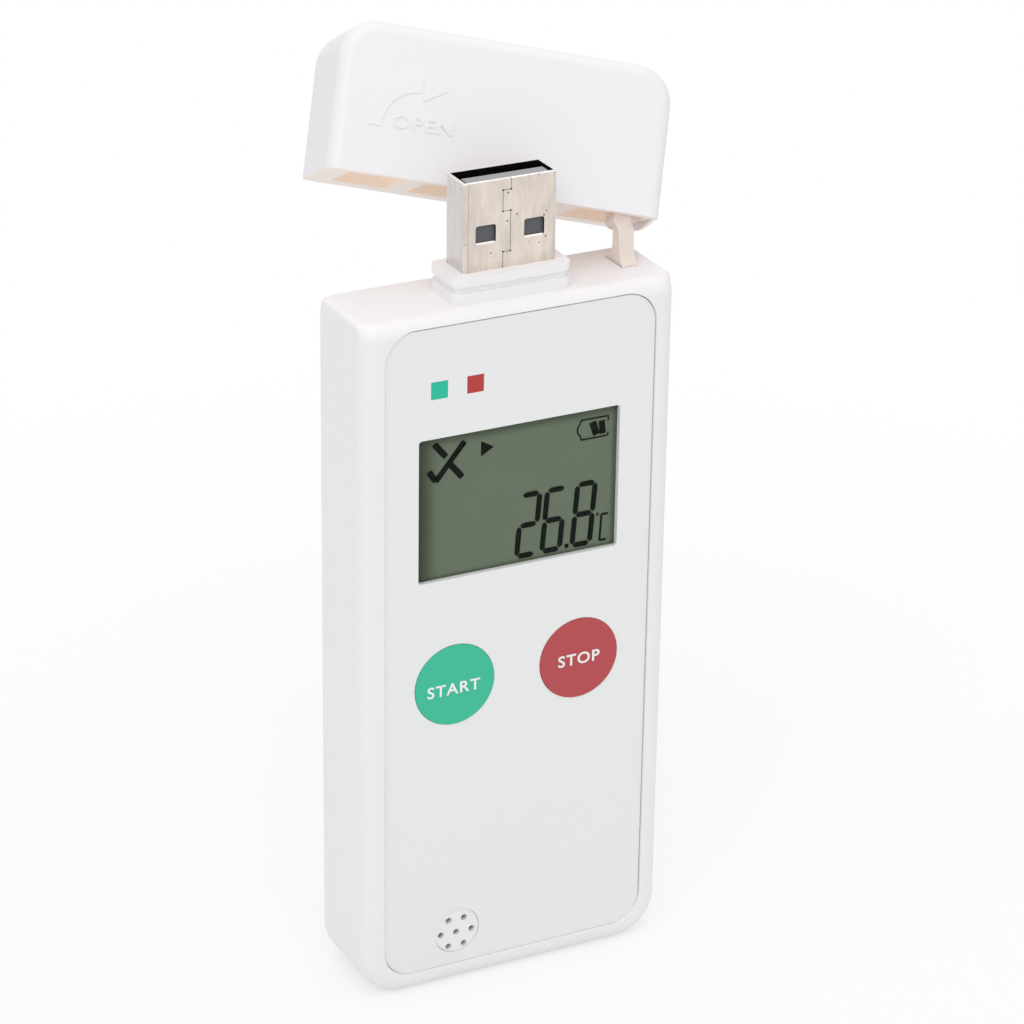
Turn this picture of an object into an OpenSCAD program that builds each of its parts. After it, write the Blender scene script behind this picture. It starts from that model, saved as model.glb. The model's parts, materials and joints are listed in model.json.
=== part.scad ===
// Temperature data logger: a flat handheld case with a display, two buttons and a plug at its
// upper end. A cap on a short strap covers the plug, and is shown taken off and leaning behind it.
// Millimetres, +Z up, origin at the centre of the flat base. The front faces -Y.

/* [Case] */
// Width of the case
body_w = 40.8; // [36:0.2:48]
// Depth of the case, front to back
body_d = 13.5; // [13:0.1:18]
// Height of the case without the plug
body_h = 88.6; // [86:0.2:110]
// Thickness of the case's side walls
wall = 1.5; // [1:0.1:2]
// Thickness of the wall behind the face panel
front_wall = 1.2; // [0.9:0.1:1.4]
// Radius of the two lower corners
bottom_r = 5.5; // [3:0.1:6.5]
// Radius of the two upper corners
top_r = 0.6; // [0.6:0.1:2]
// Radius of the soft edges at front and back
edge_r = 2.1; // [0.8:0.1:2.2]
// Distance from the collar's back to the seam between housing and rear cover
seam_behind = 0.3; // [0.2:0.05:0.8]

/* [Face panel] */
// Width of the case's rim beside the face panel
panel_side = 2.8; // [2.6:0.1:3.6]
// Height of the case's rim above the face panel
panel_over = 1.3; // [1.2:0.1:3]
// Height of the panel's lower edge above the base
panel_z = 2.6; // [2.2:0.1:3]
// Radius of the panel's corners
panel_r = 3.8; // [1.5:0.1:5]
// Thickness of the face panel
panel_t = 0.5; // [0.3:0.05:0.6]
// Depth that the panel lies below the case's front
panel_sink = 0.3; // [0.1:0.05:0.4]

/* [Display] */
// Width of the display window
lcd_w = 26.4; // [22:0.1:28]
// Height of the display window
lcd_h = 18.3; // [14:0.1:20]
// Distance of the window's centre below the case's top
lcd_down = 24.3; // [22.6:0.1:25.6]
// Thickness of the display glass
lcd_t = 1.9; // [1.2:0.1:2.2]

/* [Buttons] */
// Radius of the START and STOP buttons
button_r = 5.25; // [4:0.05:5.6]
// Distance of the buttons' centres below the case's top
button_down = 47.5; // [44.6:0.1:52]
// Distance of the START button left of the middle
start_x = 8.35; // [7.4:0.05:9]
// Distance of the STOP button right of the middle
stop_x = 8.35; // [7.4:0.05:9]
// How far a button can be pressed in
button_travel = 0.4; // [0.2:0.05:0.5]

/* [Lights and sensor] */
// Side of a square status light
led_s = 2.1; // [1.4:0.1:2.6]
// Distance of the status lights below the case's top
led_down = 9.1; // [8.6:0.1:10.6]
// Distance of the green light left of the middle
green_x = 10.6; // [10:0.1:11.5]
// Distance of the red light left of the middle
red_x = 5.95; // [5:0.05:6.5]
// Radius of the sensor grille
grille_r = 3.0; // [2.8:0.05:3.1]
// Distance of the sensor grille left of the middle
grille_x = 7.75; // [6.5:0.05:8.5]
// Height of the sensor grille above the base
grille_z = 7.05; // [6.8:0.05:7.6]

/* [Plug] */
// Width of the plug's metal shell
plug_w = 12.0; // [11.8:0.05:12.2]
// Depth of the plug's metal shell
plug_d = 4.5; // [4.4:0.05:4.6]
// Length of the shell above the collar
plug_out = 10.9; // [9:0.1:12]
// Distance of the plug's middle in front of the case's middle
plug_forward = 0.7; // [0.5:0.05:0.8]
// Width of the collar round the plug
collar_w = 15.0; // [14.6:0.1:16.4]
// Depth of the collar round the plug
collar_d = 7.7; // [7.3:0.1:7.9]
// Height of the collar above the case
collar_h = 3.2; // [2.4:0.1:4]

/* [Cap] */
// Height of the cap
cap_h = 17.9; // [17.2:0.1:20]
// Radius of the cap's two upper corners
cap_r = 4.5; // [3:0.1:5.5]
// Radius of the cap's soft edges at front and back
cap_edge_r = 1.6; // [0.8:0.1:1.7]
// How far the cap's right wall hangs below the rim
apron_h = 0.84; // [0.2:0.02:0.9]
// Thickness of the cap's walls
cap_wall = 1.5; // [1.2:0.1:1.8]
// Distance of the hinge pin from the cap's right end
pin_in = 4.3; // [4:0.1:4.8]
// Distance of the hinge pin's middle from the cap's front
pin_back = 3.4; // [3.3:0.05:3.6]
// Height of the hinge pin above the case
pin_up = 4.6; // [4.4:0.05:5.2]
// Turn of the cap to the rear about the upright, in degrees
cap_yaw = -8.5; // [-10:0.5:-8]
// Backward lean of the cap, in degrees
cap_lean = -25; // [-27:0.5:-24]
// Lift of the cap's left end, in degrees
cap_roll = 14; // [13:0.5:16]

/* [Strap] */
// Thickness of the strap across the case
strap_t = 2.0; // [1.6:0.1:2.2]
// Depth of the strap at its foot
strap_d = 4.1; // [3.4:0.1:4.2]
// Distance of the strap's middle from the case's right side
strap_in = 3.5; // [3.4:0.05:3.8]
// How far the strap draws out of its slot
strap_lift = 5.0; // [3:0.1:6]

/* [Hidden] */
$fn = 48;

// Shared clearances and overrun of cuts
over = 1;
gap = 0.1;
fit = 0.05;
hair = 0.01;

// Faces of the case along Y, from front to back
front_y = -body_d/2;
back_y = body_d/2;
seam_y = collar_d/2 - plug_forward + seam_behind;
cover_t = back_y - seam_y;
panel_y = front_y + panel_sink;
floor_y = panel_y + panel_t;
inner_y = floor_y + front_wall;
cover_wall = 1.5;
cover_in_y = back_y - cover_wall;
room_d = cover_in_y - inner_y;

// Face panel, and heights that hang from the case's top
panel_w = body_w - 2*panel_side;
panel_h = body_h - panel_z - panel_over;
lcd_z = body_h - lcd_down;
button_z = body_h - button_down;
led_z = body_h - led_down;
strap_x = body_w/2 - strap_in;

// Circuit board, at its share of the room between the front wall and the cover
board_share = 0.415;
board_t_share = 0.1;
board_t = room_d*board_t_share;
board_y = inner_y + room_d*board_share;
board_back_y = board_y + board_t;
board_gap = 1.7;
board_left = -body_w/2 + wall + board_gap;
board_strap_gap = 2.7;
board_right = strap_x - board_strap_gap;
board_low = 9.5;
board_drop = 7.1;
board_top = body_h - board_drop;
low_tab_w = 23;
low_tab_z = 3;
top_tab_w = 10.8;

// Screws: four through the cover, four into the board's posts
boss_r = 2.2;
boss_inset = 3.7;
boss_low_z = 6.0;
boss_drop = 4.4;
boss_strap_gap = 5.1;
boss_right_x = strap_x - boss_strap_gap;
screw_r = 0.95;
screw_head_r = 1.8;
screw_head_t = 1.1;
screw_len = 8;
screw_recess = 0.3;
boss_low_x = body_w/2 - wall - boss_inset;
BOSSES = [[-boss_low_x, boss_low_z], [boss_low_x, boss_low_z],
    [-boss_low_x, body_h - boss_drop], [boss_right_x, body_h - boss_drop]];
post_r = 1.5;
post_left_in = 4.6;
post_right_in = 1.6;
post_low_z = 15;
post_drop = 37.6;
post_high_z = body_h - post_drop;
post_screw_r = 0.7;
post_head_r = 1.25;
post_head_t = 0.7;
post_screw_len = 3.2;
post_left_x = board_left + post_left_in;
post_right_x = board_right - post_right_in;
POSTS = [[post_left_x, post_low_z], [post_right_x, post_low_z],
    [post_left_x, post_high_z], [post_right_x, post_high_z]];
// Length and width of a socket's arms, as shares of the head's radius
socket_long_share = 1.8;
socket_wide_share = 0.45;

// Seal in its groove between housing and cover
seal_w = 0.5;
seal_t = 0.6;
seal_inset = 0.5;

// Display parts
lcd_edge = 0.2;
lcd_front_y = floor_y + gap;
lcd_back_y = lcd_front_y + lcd_t;
frame_rim = 1.8;
strip_h = 1.2;
backing_t = 0.8;

// Buttons and switches
button_proud = 0.1;
button_gap = 0.1;
flange_w = 0.75;
flange_t = 0.7;
stem_r = 1.2;
switch_w = 6;
switch_h = 1.9;
stem_run = 0.45;
stem_spare = 0.45;
switch_bore_d = stem_run + button_travel + stem_spare;

// Sensor grille: one hole in the middle and six round it
grille_sink = 0.2;
grille_ledge = 0.5;
grille_hole_r = 0.42;
grille_ring_r = 2.1;
grille_holes = 6;
// The holes sit a little below the disc's middle
grille_drop = 0.35;
gasket_r = 3.2;
gasket_wall = 0.4;
sensor_w = 2.6;
sensor_t = 0.9;

// Status lights
led_w = 1.6;
led_t = 0.8;
led_gap = 0.2;

// Parts on the back of the board, along its width by shares of it
mcu_w = 7;
mcu_t = 1;
mcu_share = 0.325;
mcu_x = board_left + (board_right - board_left)*mcu_share;
mcu_z = 30;
memory_w = 5;
memory_h = 4;
memory_share = 0.69;
memory_x = board_left + (board_right - board_left)*memory_share;
memory_z = 31;
crystal_w = 3.2;
crystal_h = 7;
crystal_t = 1.6;
crystal_z = 20;
crystal_round_share = 0.45;
cap_can_r = 2;
cap_can_t = 3.6;
can_share = 0.8;
cap_can_x = board_left + (board_right - board_left)*can_share;
cap_can_z = 20;
cell_r = 10;
cell_t_share = 0.32;
cell_t = room_d*cell_t_share;
cell_x = -1.4;
cell_drop = 24.6;
cell_z = body_h - cell_drop;
holder_rim = 1.3;
holder_floor_share = 0.05;
holder_floor = room_d*holder_floor_share;
holder_t_share = 0.26;
holder_t = room_d*holder_t_share;
clip_w = 5;
clip_t = 0.4;

// Plug
plug_y = -plug_forward;
collar_top = body_h + collar_h;
plug_top = collar_top + plug_out;
plug_root = 5;
plug_bottom = body_h - plug_root;
shell_t = 0.3;
shell_r = 0.35;
window_w = 2.6;
window_h = 2.1;
window_x = 3.13;
window_down = 6.4;
tongue_t = 2.0;
tongue_sink = 0.15;
base_h = 7.4;
pad_w = 1.0;
pad_t = 0.12;
pad_count = 4;
pad_pitch = 2.3;
pad_len = 8;
pad_sink = 1.2;
// Collar: rounded flange, groove and lower step
collar_r = 1.2;
flange_h = 1.05;
groove_h = 0.85;
groove_in = 0.5;
collar_stem_in = 0.8;
collar_back_in = 0.6;
collar_hold = 1.2;

// Strap, slot and hinge
strap_y = 0.75;
slot_clear = 0.06;
slot_left = 0.2;
foot_len = 15;
stop_t = 1.4;
stop_w = 0.55;
shelf_t = 1.2;
shelf_lip = 1.1;
slot_x0 = strap_x - strap_t/2 - slot_left;
slot_x1 = strap_x + strap_t/2 + slot_clear;
slot_y0 = strap_y - strap_d/2 - slot_clear;
slot_y1 = strap_y + strap_d/2 + slot_clear;
// The strap's waist, in front of the strap's middle and behind it, and the height of its flared foot
waist_front = 0.95;
waist_back = 0.65;
flare_h = 2.5;
flare_steps = 6;
// The neck's shoulder under the knuckle and its crown in the knuckle, below and above the pin
shoulder_drop = 0.6;
shoulder_front = 0.85;
crown_up = 0.2;
crown_front = 0.3;
crown_back = 0.7;
post_pin_r = 0.7;
post_pin_h = 1.5;
foot_gap = 0.1;
knuckle_r = 1.1;
// The knuckle's reach along the pin, to the front and to the back
knuckle_front = 1.8;
knuckle_back = 0.25;
pin_r = 0.5;
pin_drop = 0.5;
// Wall of the knuckle in front of the pin's end
pin_cover = 0.3;
// The ear behind the knuckle, and the height of its arm above the pin's middle
ear_r = 0.95;
ear_t = 1.5;
ear_rise = 0.45;
pin_x = strap_x;
pin_behind = 1.4;
pin_y = strap_y + pin_behind;
pin_z = body_h + pin_up;

// Inside of the cap: the wall at its left end and the wall at its back are thicker than the others
cap_left_wall = 3;
cap_back_wall = 3.2;
rib_t = 2.4;
rib_clear = 0.65;
rib_x = collar_w/2 + rib_clear;
// The right wall's lower end is a shallow arc, and a web fills the rim between it and the knuckle
apron_r = 17;
apron_t = 0.75;
web_rise = 0.35;
web_h = 1;

// Outline with rounded lower and upper corners, standing on z = 0
module plate2d(w, h, rb, rt) {
    translate([-w/2, rb]) square([w, h - rb - rt]);
    translate([-w/2 + rb, 0]) square([w - 2*rb, h/2]);
    translate([-w/2 + rt, h/2]) square([w - 2*rt, h/2]);
    for (s = [-1, 1]) {
        translate([s*(w/2 - rb), rb]) circle(rb);
        translate([s*(w/2 - rt), h - rt]) circle(rt);
    }
}

// Rounded rectangle about its middle
module pad2d(w, h, r) {
    square([w, h - 2*r], center = true);
    square([w - 2*r, h], center = true);
    for (sx = [-1, 1], sy = [-1, 1])
        translate([sx*(w/2 - r), sy*(h/2 - r)]) circle(r);
}

// Stands an outline up and gives it thickness from y0 to y1
module upright(y0, y1) {
    translate([0, y1, 0]) rotate([90, 0, 0]) linear_extrude(y1 - y0) children();
}

// A cylinder along Y
module rod(x, z, y0, y1, r) {
    translate([x, y1, z]) rotate([90, 0, 0]) cylinder(r = r, h = y1 - y0);
}

// A box between two faces along Y, about the middle of x and z
module block(x, z, y0, y1, w, h) {
    translate([x - w/2, y0, z - h/2]) cube([w, y1 - y0, h]);
}

// A ring with a round edge, for a corner of a soft block; its middle stays open by a hair.
// It reaches by edge to the front and by back to the rear.
module corner_ring(r, edge, back) {
    rotate([90, 0, 0]) rotate_extrude($fn = 32) intersection() {
        translate([r - edge, 0]) circle(edge, $fn = 32);
        translate([hair, -back]) square([r, edge + back]);
    }
}

// A block with rounded lower corners and soft edges at its front, flat at its back. Its upper
// corners are full behind the soft edge, with only the small radius rt.
module soft_block(w, h, d, rb, rt, edge) {
    hull() {
        for (s = [-1, 1]) {
            translate([s*(w/2 - rb), edge, rb]) corner_ring(rb, edge, 0);
            translate([s*(w/2 - edge - hair), edge, h - edge - hair]) corner_ring(edge + hair, edge, 0);
        }
        upright(edge, d) plate2d(w, h, rb, rt);
    }
}

// The room inside the case
module case_room(y0, y1) {
    translate([0, 0, wall]) upright(y0, y1)
        plate2d(body_w - 2*wall, body_h - 2*wall, bottom_r - wall, max(top_r - wall, fit));
}

module seal_groove2d(grow) {
    outer = seal_inset - grow;
    inner = seal_inset + seal_w + grow;
    difference() {
        translate([0, outer]) plate2d(body_w - 2*outer, body_h - 2*outer, bottom_r - outer,
            max(top_r - outer, fit));
        translate([0, inner]) plate2d(body_w - 2*inner, body_h - 2*inner, bottom_r - inner,
            max(top_r - inner, fit));
    }
}

module front_housing() {
    color("#f1eeec") difference() {
        union() {
            difference() {
                translate([0, front_y, 0])
                    soft_block(body_w, body_h, body_d - cover_t, bottom_r, top_r, edge_r);
                case_room(inner_y, seam_y + over);
            }
            for (b = BOSSES) rod(b[0], b[1], floor_y, seam_y, boss_r);
            for (p = POSTS) rod(p[0], p[1], floor_y, board_y, post_r);
            // Shelf that stops the strap's foot
            translate([slot_x0 - shelf_lip, inner_y - fit, body_h - foot_len + stop_t + strap_lift + gap])
                cube([body_w/2 - wall/2 - slot_x0 + shelf_lip, seam_y - inner_y, shelf_t]);
        }
        translate([0, 0, panel_z - gap]) upright(front_y - over, floor_y)
            plate2d(panel_w + 2*gap, panel_h + 2*gap, panel_r + gap, panel_r + gap);
        block(0, lcd_z, floor_y - over, inner_y + over, lcd_w, lcd_h);
        rod(-start_x, button_z, floor_y - over, inner_y + over, button_r + button_gap);
        rod(stop_x, button_z, floor_y - over, inner_y + over, button_r + button_gap);
        for (x = [-green_x, -red_x])
            block(x, led_z, floor_y - over, inner_y + over, led_s + fit, led_s + fit);
        rod(-grille_x, grille_z, floor_y - over, inner_y - grille_ledge, grille_r + fit);
        rod(-grille_x, grille_z, floor_y - over, inner_y + over, grille_r - gasket_wall);
        for (b = BOSSES) rod(b[0], b[1], seam_y - screw_len, seam_y + over, screw_r + fit);
        for (p = POSTS) rod(p[0], p[1], board_y - post_screw_len, board_y + over, post_screw_r + fit);
        upright(seam_y - seal_t - fit, seam_y + over) seal_groove2d(fit);
        collar_cut();
        translate([slot_x0, slot_y0, body_h - foot_len])
            cube([slot_x1 - slot_x0, slot_y1 - slot_y0, foot_len + over]);
    }
}

module collar_cut() {
    translate([0, plug_y, body_h - wall - over]) linear_extrude(wall + 2*over)
        pad2d(collar_w - 2*collar_stem_in + 2*fit, collar_d - 2*collar_stem_in + 2*fit, collar_r/2);
}

module rear_cover() {
    color("#f1eeec") difference() {
        union() {
            difference() {
                translate([0, back_y, 0]) mirror([0, 1, 0])
                    soft_block(body_w, body_h, cover_t, bottom_r, top_r, edge_r);
                case_room(seam_y - over, cover_in_y);
            }
            for (b = BOSSES) rod(b[0], b[1], seam_y, cover_in_y + fit, boss_r + screw_recess);
        }
        for (b = BOSSES) {
            rod(b[0], b[1], seam_y - over, back_y + over, screw_r + gap);
            rod(b[0], b[1], back_y - screw_recess - screw_head_t, back_y + over, screw_head_r + gap);
        }
    }
}

module cover_seal() {
    color("#3a3c3e") upright(seam_y - seal_t, seam_y) seal_groove2d(0);
}

// A countersunk screw along Y with a cross socket in its head
module screw(x, z, head_y, shank_r, head_r, head_t, len) {
    difference() {
        union() {
            rod(x, z, head_y - head_t, head_y, head_r);
            rod(x, z, head_y - len, head_y - head_t, shank_r);
        }
        for (a = [0, 90])
            translate([x, head_y, z]) rotate([0, a, 0])
                cube([head_r*socket_long_share, head_t, head_r*socket_wide_share], center = true);
    }
}

module cover_screws() {
    color("#b9bcbe") for (b = BOSSES)
        screw(b[0], b[1], back_y - screw_recess, screw_r, screw_head_r, screw_head_t, screw_len);
}

module face_panel() {
    color("#e7eae8") difference() {
        translate([0, 0, panel_z]) upright(panel_y, floor_y) plate2d(panel_w, panel_h, panel_r, panel_r);
        block(0, lcd_z, panel_y - over, floor_y + over, lcd_w, lcd_h);
        rod(-start_x, button_z, panel_y - over, floor_y + over, button_r + button_gap);
        rod(stop_x, button_z, panel_y - over, floor_y + over, button_r + button_gap);
        for (x = [-green_x, -red_x])
            block(x, led_z, panel_y - over, floor_y + over, led_s + fit, led_s + fit);
        rod(-grille_x, grille_z, panel_y - over, floor_y + over, grille_r + fit);
    }
}

module lcd_window() {
    color("#9aa694") block(0, lcd_z, panel_y, floor_y, lcd_w - fit, lcd_h - fit);
}

module lcd_glass() {
    color("#67735f") block(0, lcd_z, lcd_front_y, lcd_back_y, lcd_w - 2*lcd_edge, lcd_h - 2*lcd_edge);
}

module lcd_backing() {
    color("#c9cdc4") block(0, lcd_z, lcd_back_y, lcd_back_y + backing_t,
        lcd_w - 2*lcd_edge, lcd_h - 2*lcd_edge - 2*strip_h - 2*gap);
}

module lcd_frame() {
    color("#e9e9e6") difference() {
        block(0, lcd_z, inner_y, board_y, lcd_w + frame_rim, lcd_h + frame_rim);
        block(0, lcd_z, inner_y - over, board_y + over, lcd_w, lcd_h);
    }
}

module contact_strips() {
    color("#c46a8a") for (s = [-1, 1])
        block(0, lcd_z + s*(lcd_h/2 - lcd_edge - strip_h/2), lcd_back_y, board_y,
            lcd_w - 2*lcd_edge, strip_h);
}

module circuit_board() {
    color("#2f6b46") difference() {
        upright(board_y, board_back_y) {
            translate([board_left, board_low]) square([board_right - board_left, board_top - board_low]);
            translate([-low_tab_w/2, low_tab_z]) square([low_tab_w, board_low - low_tab_z + over]);
            translate([-top_tab_w/2, board_top - over]) square([top_tab_w, plug_bottom - board_top + over]);
        }
        for (p = POSTS) rod(p[0], p[1], board_y - over, board_back_y + over, post_screw_r + fit);
    }
}

module board_screws() {
    color("#b9bcbe") for (p = POSTS)
        screw(p[0], p[1], board_back_y + post_head_t, post_screw_r, post_head_r, post_head_t,
            post_screw_len);
}

module microcontroller() {
    color("#1f2022") block(mcu_x, mcu_z, board_back_y, board_back_y + mcu_t, mcu_w, mcu_w);
}

module memory_chip() {
    color("#1f2022") block(memory_x, memory_z, board_back_y, board_back_y + mcu_t, memory_w, memory_h);
}

module crystal() {
    color("#c9cccf") upright(board_back_y, board_back_y + crystal_t)
        translate([mcu_x, crystal_z]) pad2d(crystal_w, crystal_h, crystal_w*crystal_round_share);
}

module charge_capacitor() {
    color("#33507a") rod(cap_can_x, cap_can_z, board_back_y, board_back_y + cap_can_t, cap_can_r);
}

module battery_holder() {
    color("#2a2b2d") difference() {
        rod(cell_x, cell_z, board_back_y, board_back_y + holder_t, cell_r + holder_rim);
        rod(cell_x, cell_z, board_back_y + holder_floor, board_back_y + holder_t + over, cell_r + gap);
    }
}

module battery_cell() {
    base = board_back_y + holder_floor;
    color("#c9ccce") rod(cell_x, cell_z, base, base + cell_t, cell_r);
}

module battery_clip() {
    top = board_back_y + holder_floor + cell_t;
    color("#d0b070") union() {
        block(cell_x, cell_z, top, top + clip_t, 2*(cell_r + holder_rim), clip_w);
        for (s = [-1, 1])
            block(cell_x + s*(cell_r + holder_rim + clip_t/2), cell_z, board_back_y, top + clip_t,
                clip_t, clip_w);
    }
}

// A tactile switch with a bore that the button's stem enters
module switch_body(x) {
    top = board_y - switch_h;
    difference() {
        block(x, button_z, top, board_y, switch_w, switch_w);
        rod(x, button_z, top - over, top + switch_bore_d, stem_r + fit);
    }
}

module start_switch() { color("#202225") switch_body(-start_x); }

module stop_switch() { color("#202225") switch_body(stop_x); }

// A button: disc in the panel, flange behind the wall and stem into the switch
module button_body(x) {
    flange_y = inner_y + gap;
    union() {
        rod(x, button_z, panel_y - button_proud, flange_y + flange_t, button_r);
        rod(x, button_z, flange_y, flange_y + flange_t, button_r + flange_w);
        rod(x, button_z, flange_y, board_y - switch_h + stem_run, stem_r);
    }
}

module start_button() { color("#2bbe94") button_body(-start_x); }

module stop_button() { color("#b53e46") button_body(stop_x); }

module light_guide(x) {
    block(x, led_z, panel_y, board_y - led_t - led_gap, led_s, led_s);
}

module green_light() { color("#2bbe94") light_guide(-green_x); }

module red_light() { color("#b53e46") light_guide(-red_x); }

module status_leds() {
    color("#f4f1e2") for (x = [-green_x, -red_x])
        block(x, led_z, board_y - led_t, board_y, led_w, led_w);
}

module sensor_grille() {
    color("#f4f3f1") difference() {
        rod(-grille_x, grille_z, panel_y + grille_sink, inner_y - grille_ledge, grille_r);
        translate([-grille_x, 0, grille_z - grille_drop]) {
            rod(0, 0, panel_y - over, inner_y + over, grille_hole_r);
            for (i = [0 : grille_holes - 1]) rotate([0, i*360/grille_holes, 0])
                rod(grille_ring_r, 0, panel_y - over, inner_y + over, grille_hole_r);
        }
    }
}

module sensor_gasket() {
    color("#2c2d2f") difference() {
        rod(-grille_x, grille_z, inner_y, board_y, gasket_r);
        rod(-grille_x, grille_z, inner_y - over, board_y + over, gasket_r - gasket_wall);
    }
}

module humidity_sensor() {
    color("#e4e4df") block(-grille_x, grille_z, board_y - sensor_t, board_y, sensor_w, sensor_w);
}

// One step of the collar, drawn in by inset all round and by back at its rear
module collar_step(z0, z1, inset, back) {
    translate([0, plug_y - back/2, z0]) linear_extrude(z1 - z0)
        pad2d(collar_w - 2*inset, collar_d - 2*inset - back, collar_r - inset/2);
}

module usb_collar() {
    lower_top = collar_top - flange_h - groove_h;
    color("#f3f2f1") difference() {
        union() {
            collar_step(collar_top - flange_h, collar_top, 0, collar_back_in);
            collar_step(body_h, collar_top - fit, groove_in, collar_back_in);
            collar_step(body_h, lower_top, 0, collar_back_in);
            collar_step(body_h - wall, body_h + fit, collar_stem_in, 0);
            collar_step(body_h - wall - collar_hold, body_h - wall, collar_stem_in/2, 0);
        }
        translate([0, plug_y, body_h/2]) linear_extrude(body_h) pad2d(plug_w, plug_d, shell_r);
    }
}

module usb_shell() {
    color("#c6c1ba") difference() {
        translate([0, plug_y, plug_bottom]) linear_extrude(plug_top - plug_bottom)
            pad2d(plug_w, plug_d, shell_r);
        translate([0, plug_y, plug_bottom - over]) linear_extrude(plug_top - plug_bottom + 2*over)
            pad2d(plug_w - 2*shell_t, plug_d - 2*shell_t, shell_r - shell_t);
        for (s = [-1, 1])
            translate([s*window_x - window_w/2, plug_y - plug_d, plug_top - window_down - window_h/2])
                cube([window_w, 2*plug_d, window_h]);
    }
}

module usb_tongue() {
    in_w = plug_w - 2*shell_t - 2*fit;
    in_d = plug_d - 2*shell_t - 2*fit;
    front = plug_y - in_d/2;
    color("#77797d") union() {
        translate([-in_w/2 + shell_r, front, plug_bottom]) cube([in_w - 2*shell_r, in_d, base_h]);
        translate([-in_w/2 + shell_r, front, plug_bottom])
            cube([in_w - 2*shell_r, tongue_t, plug_top - tongue_sink - plug_bottom]);
    }
}

module usb_contacts() {
    front = plug_y - plug_d/2 + shell_t + fit + tongue_t;
    top = plug_top - pad_sink;
    color("#d7b25e") for (i = [0 : pad_count - 1])
        translate([(i - (pad_count - 1)/2)*pad_pitch - pad_w/2, front, top - pad_len])
            cube([pad_w, pad_t, pad_len]);
}

module strap_foot() {
    base = body_h - foot_len;
    color("#f1eeec") union() {
        translate([strap_x - strap_t/2, strap_y - strap_d/2, base])
            cube([strap_t, strap_d, foot_len - foot_gap]);
        translate([strap_x - strap_t/2 - stop_w, strap_y - strap_d/2 - stop_w, base])
            cube([strap_t + 2*stop_w, strap_d + 2*stop_w, stop_t]);
        translate([strap_x, strap_y, body_h - foot_gap - fit]) cylinder(r = post_pin_r, h = post_pin_h);
    }
}

// Puts a cap detail in its place: the pin's middle on the hinge, leaned and turned as shown
module at_pin() {
    translate([pin_x, pin_y, pin_z]) rotate([0, 0, cap_yaw]) rotate([cap_lean, 0, 0])
        rotate([0, cap_roll, 0]) children();
}

// Puts a detail drawn in the cap's own frame, front lower middle of its rim at the origin
module at_cap() {
    at_pin() translate([-(body_w/2 - pin_in), -pin_back, pin_drop]) children();
}

// One side of the neck, from its flared foot up to the waist, as points along Z and Y
function neck_side(base, foot_y, waist_y) = [for (i = [0 : flare_steps])
    let (a = 90*i/flare_steps)
    [base + flare_h*(1 - cos(a)), waist_y + (foot_y - waist_y)*(1 - sin(a))]];

module strap_neck() {
    base = body_h + foot_gap;
    front = neck_side(base, strap_y - strap_d/2, strap_y - waist_front);
    back = neck_side(base, strap_y + strap_d/2, strap_y + waist_back);
    color("#f1eeec") difference() {
        union() {
            translate([strap_x + strap_t/2, 0, 0]) rotate([0, -90, 0]) linear_extrude(strap_t)
                polygon(concat(front, [[pin_z - shoulder_drop, strap_y - shoulder_front],
                    [pin_z + crown_up, strap_y - crown_front], [pin_z, strap_y + crown_back]],
                    [for (i = [0 : flare_steps]) back[flare_steps - i]]));
            at_pin() rod(0, 0, -knuckle_front, knuckle_back, knuckle_r);
        }
        translate([strap_x, strap_y, base - over])
            cylinder(r = post_pin_r + fit, h = over + post_pin_h - foot_gap);
        at_pin() rod(0, 0, pin_cover - knuckle_front, knuckle_back + over, pin_r + fit);
    }
}

module hinge_pin() {
    color("#c8cacc") at_pin()
        rod(0, 0, pin_cover + gap - knuckle_front, knuckle_back + gap + ear_t, pin_r);
}

module cap_shell() {
    color("#f3f0ef") difference() {
        union() {
            at_cap() difference() {
                cap_block();
                translate([(cap_left_wall - cap_wall)/2, 0, -over])
                    upright(cap_wall, body_d - cap_back_wall)
                        plate2d(body_w - cap_left_wall - cap_wall, cap_h - cap_wall + over, fit,
                            cap_r - cap_wall);
            }
            // Ribs on both sides of the plug
            at_cap() for (s = [-1, 1])
                translate([s*(rib_x + rib_t/2) - rib_t/2, cap_wall/2, 0])
                    cube([rib_t, body_d - cap_wall, cap_h - cap_wall/2]);
            at_cap() cap_apron();
            at_pin() ear(knuckle_back + gap);
        }
        at_pin() rod(0, 0, knuckle_back - over, knuckle_back + gap + ear_t + over, pin_r + fit/2);
    }
}

// The ear that holds the hinge pin behind the knuckle, joined to the cap's right wall
module ear(y0) {
    rod(0, 0, y0, y0 + ear_t, ear_r);
    translate([-ear_r, y0, ear_rise])
        cube([pin_in - cap_wall/2 + ear_r, ear_t, pin_drop + cap_wall - ear_rise]);
}

// The hanging end of the cap's right wall, and the web beside the knuckle
module cap_apron() {
    web_x = body_w/2 - pin_in + knuckle_r + gap;
    intersection() {
        translate([body_w/2 - apron_t, body_d/2, apron_r - apron_h]) rotate([0, 90, 0])
            cylinder(r = apron_r, h = apron_t);
        translate([body_w/2 - apron_t - over, 0, -apron_h - over])
            cube([apron_t + 2*over, body_d, apron_h + over + fit]);
    }
    translate([web_x, cap_wall/2, web_rise])
        cube([body_w/2 - cap_wall/2 - web_x, pin_back + knuckle_back + gap + ear_t - cap_wall/2, web_h]);
}

// The cap's outer shape: soft edges at front, back and top, a sharp lower rim
module cap_block() {
    hull() {
        for (s = [-1, 1], y = [cap_edge_r, body_d - cap_edge_r]) {
            translate([s*(body_w/2 - cap_r), y, cap_h - cap_r]) corner_ring(cap_r, cap_edge_r, cap_edge_r);
            translate([s*(body_w/2 - cap_edge_r), y, 0]) cylinder(r = cap_edge_r, h = fit, $fn = 32);
        }
    }
}

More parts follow.
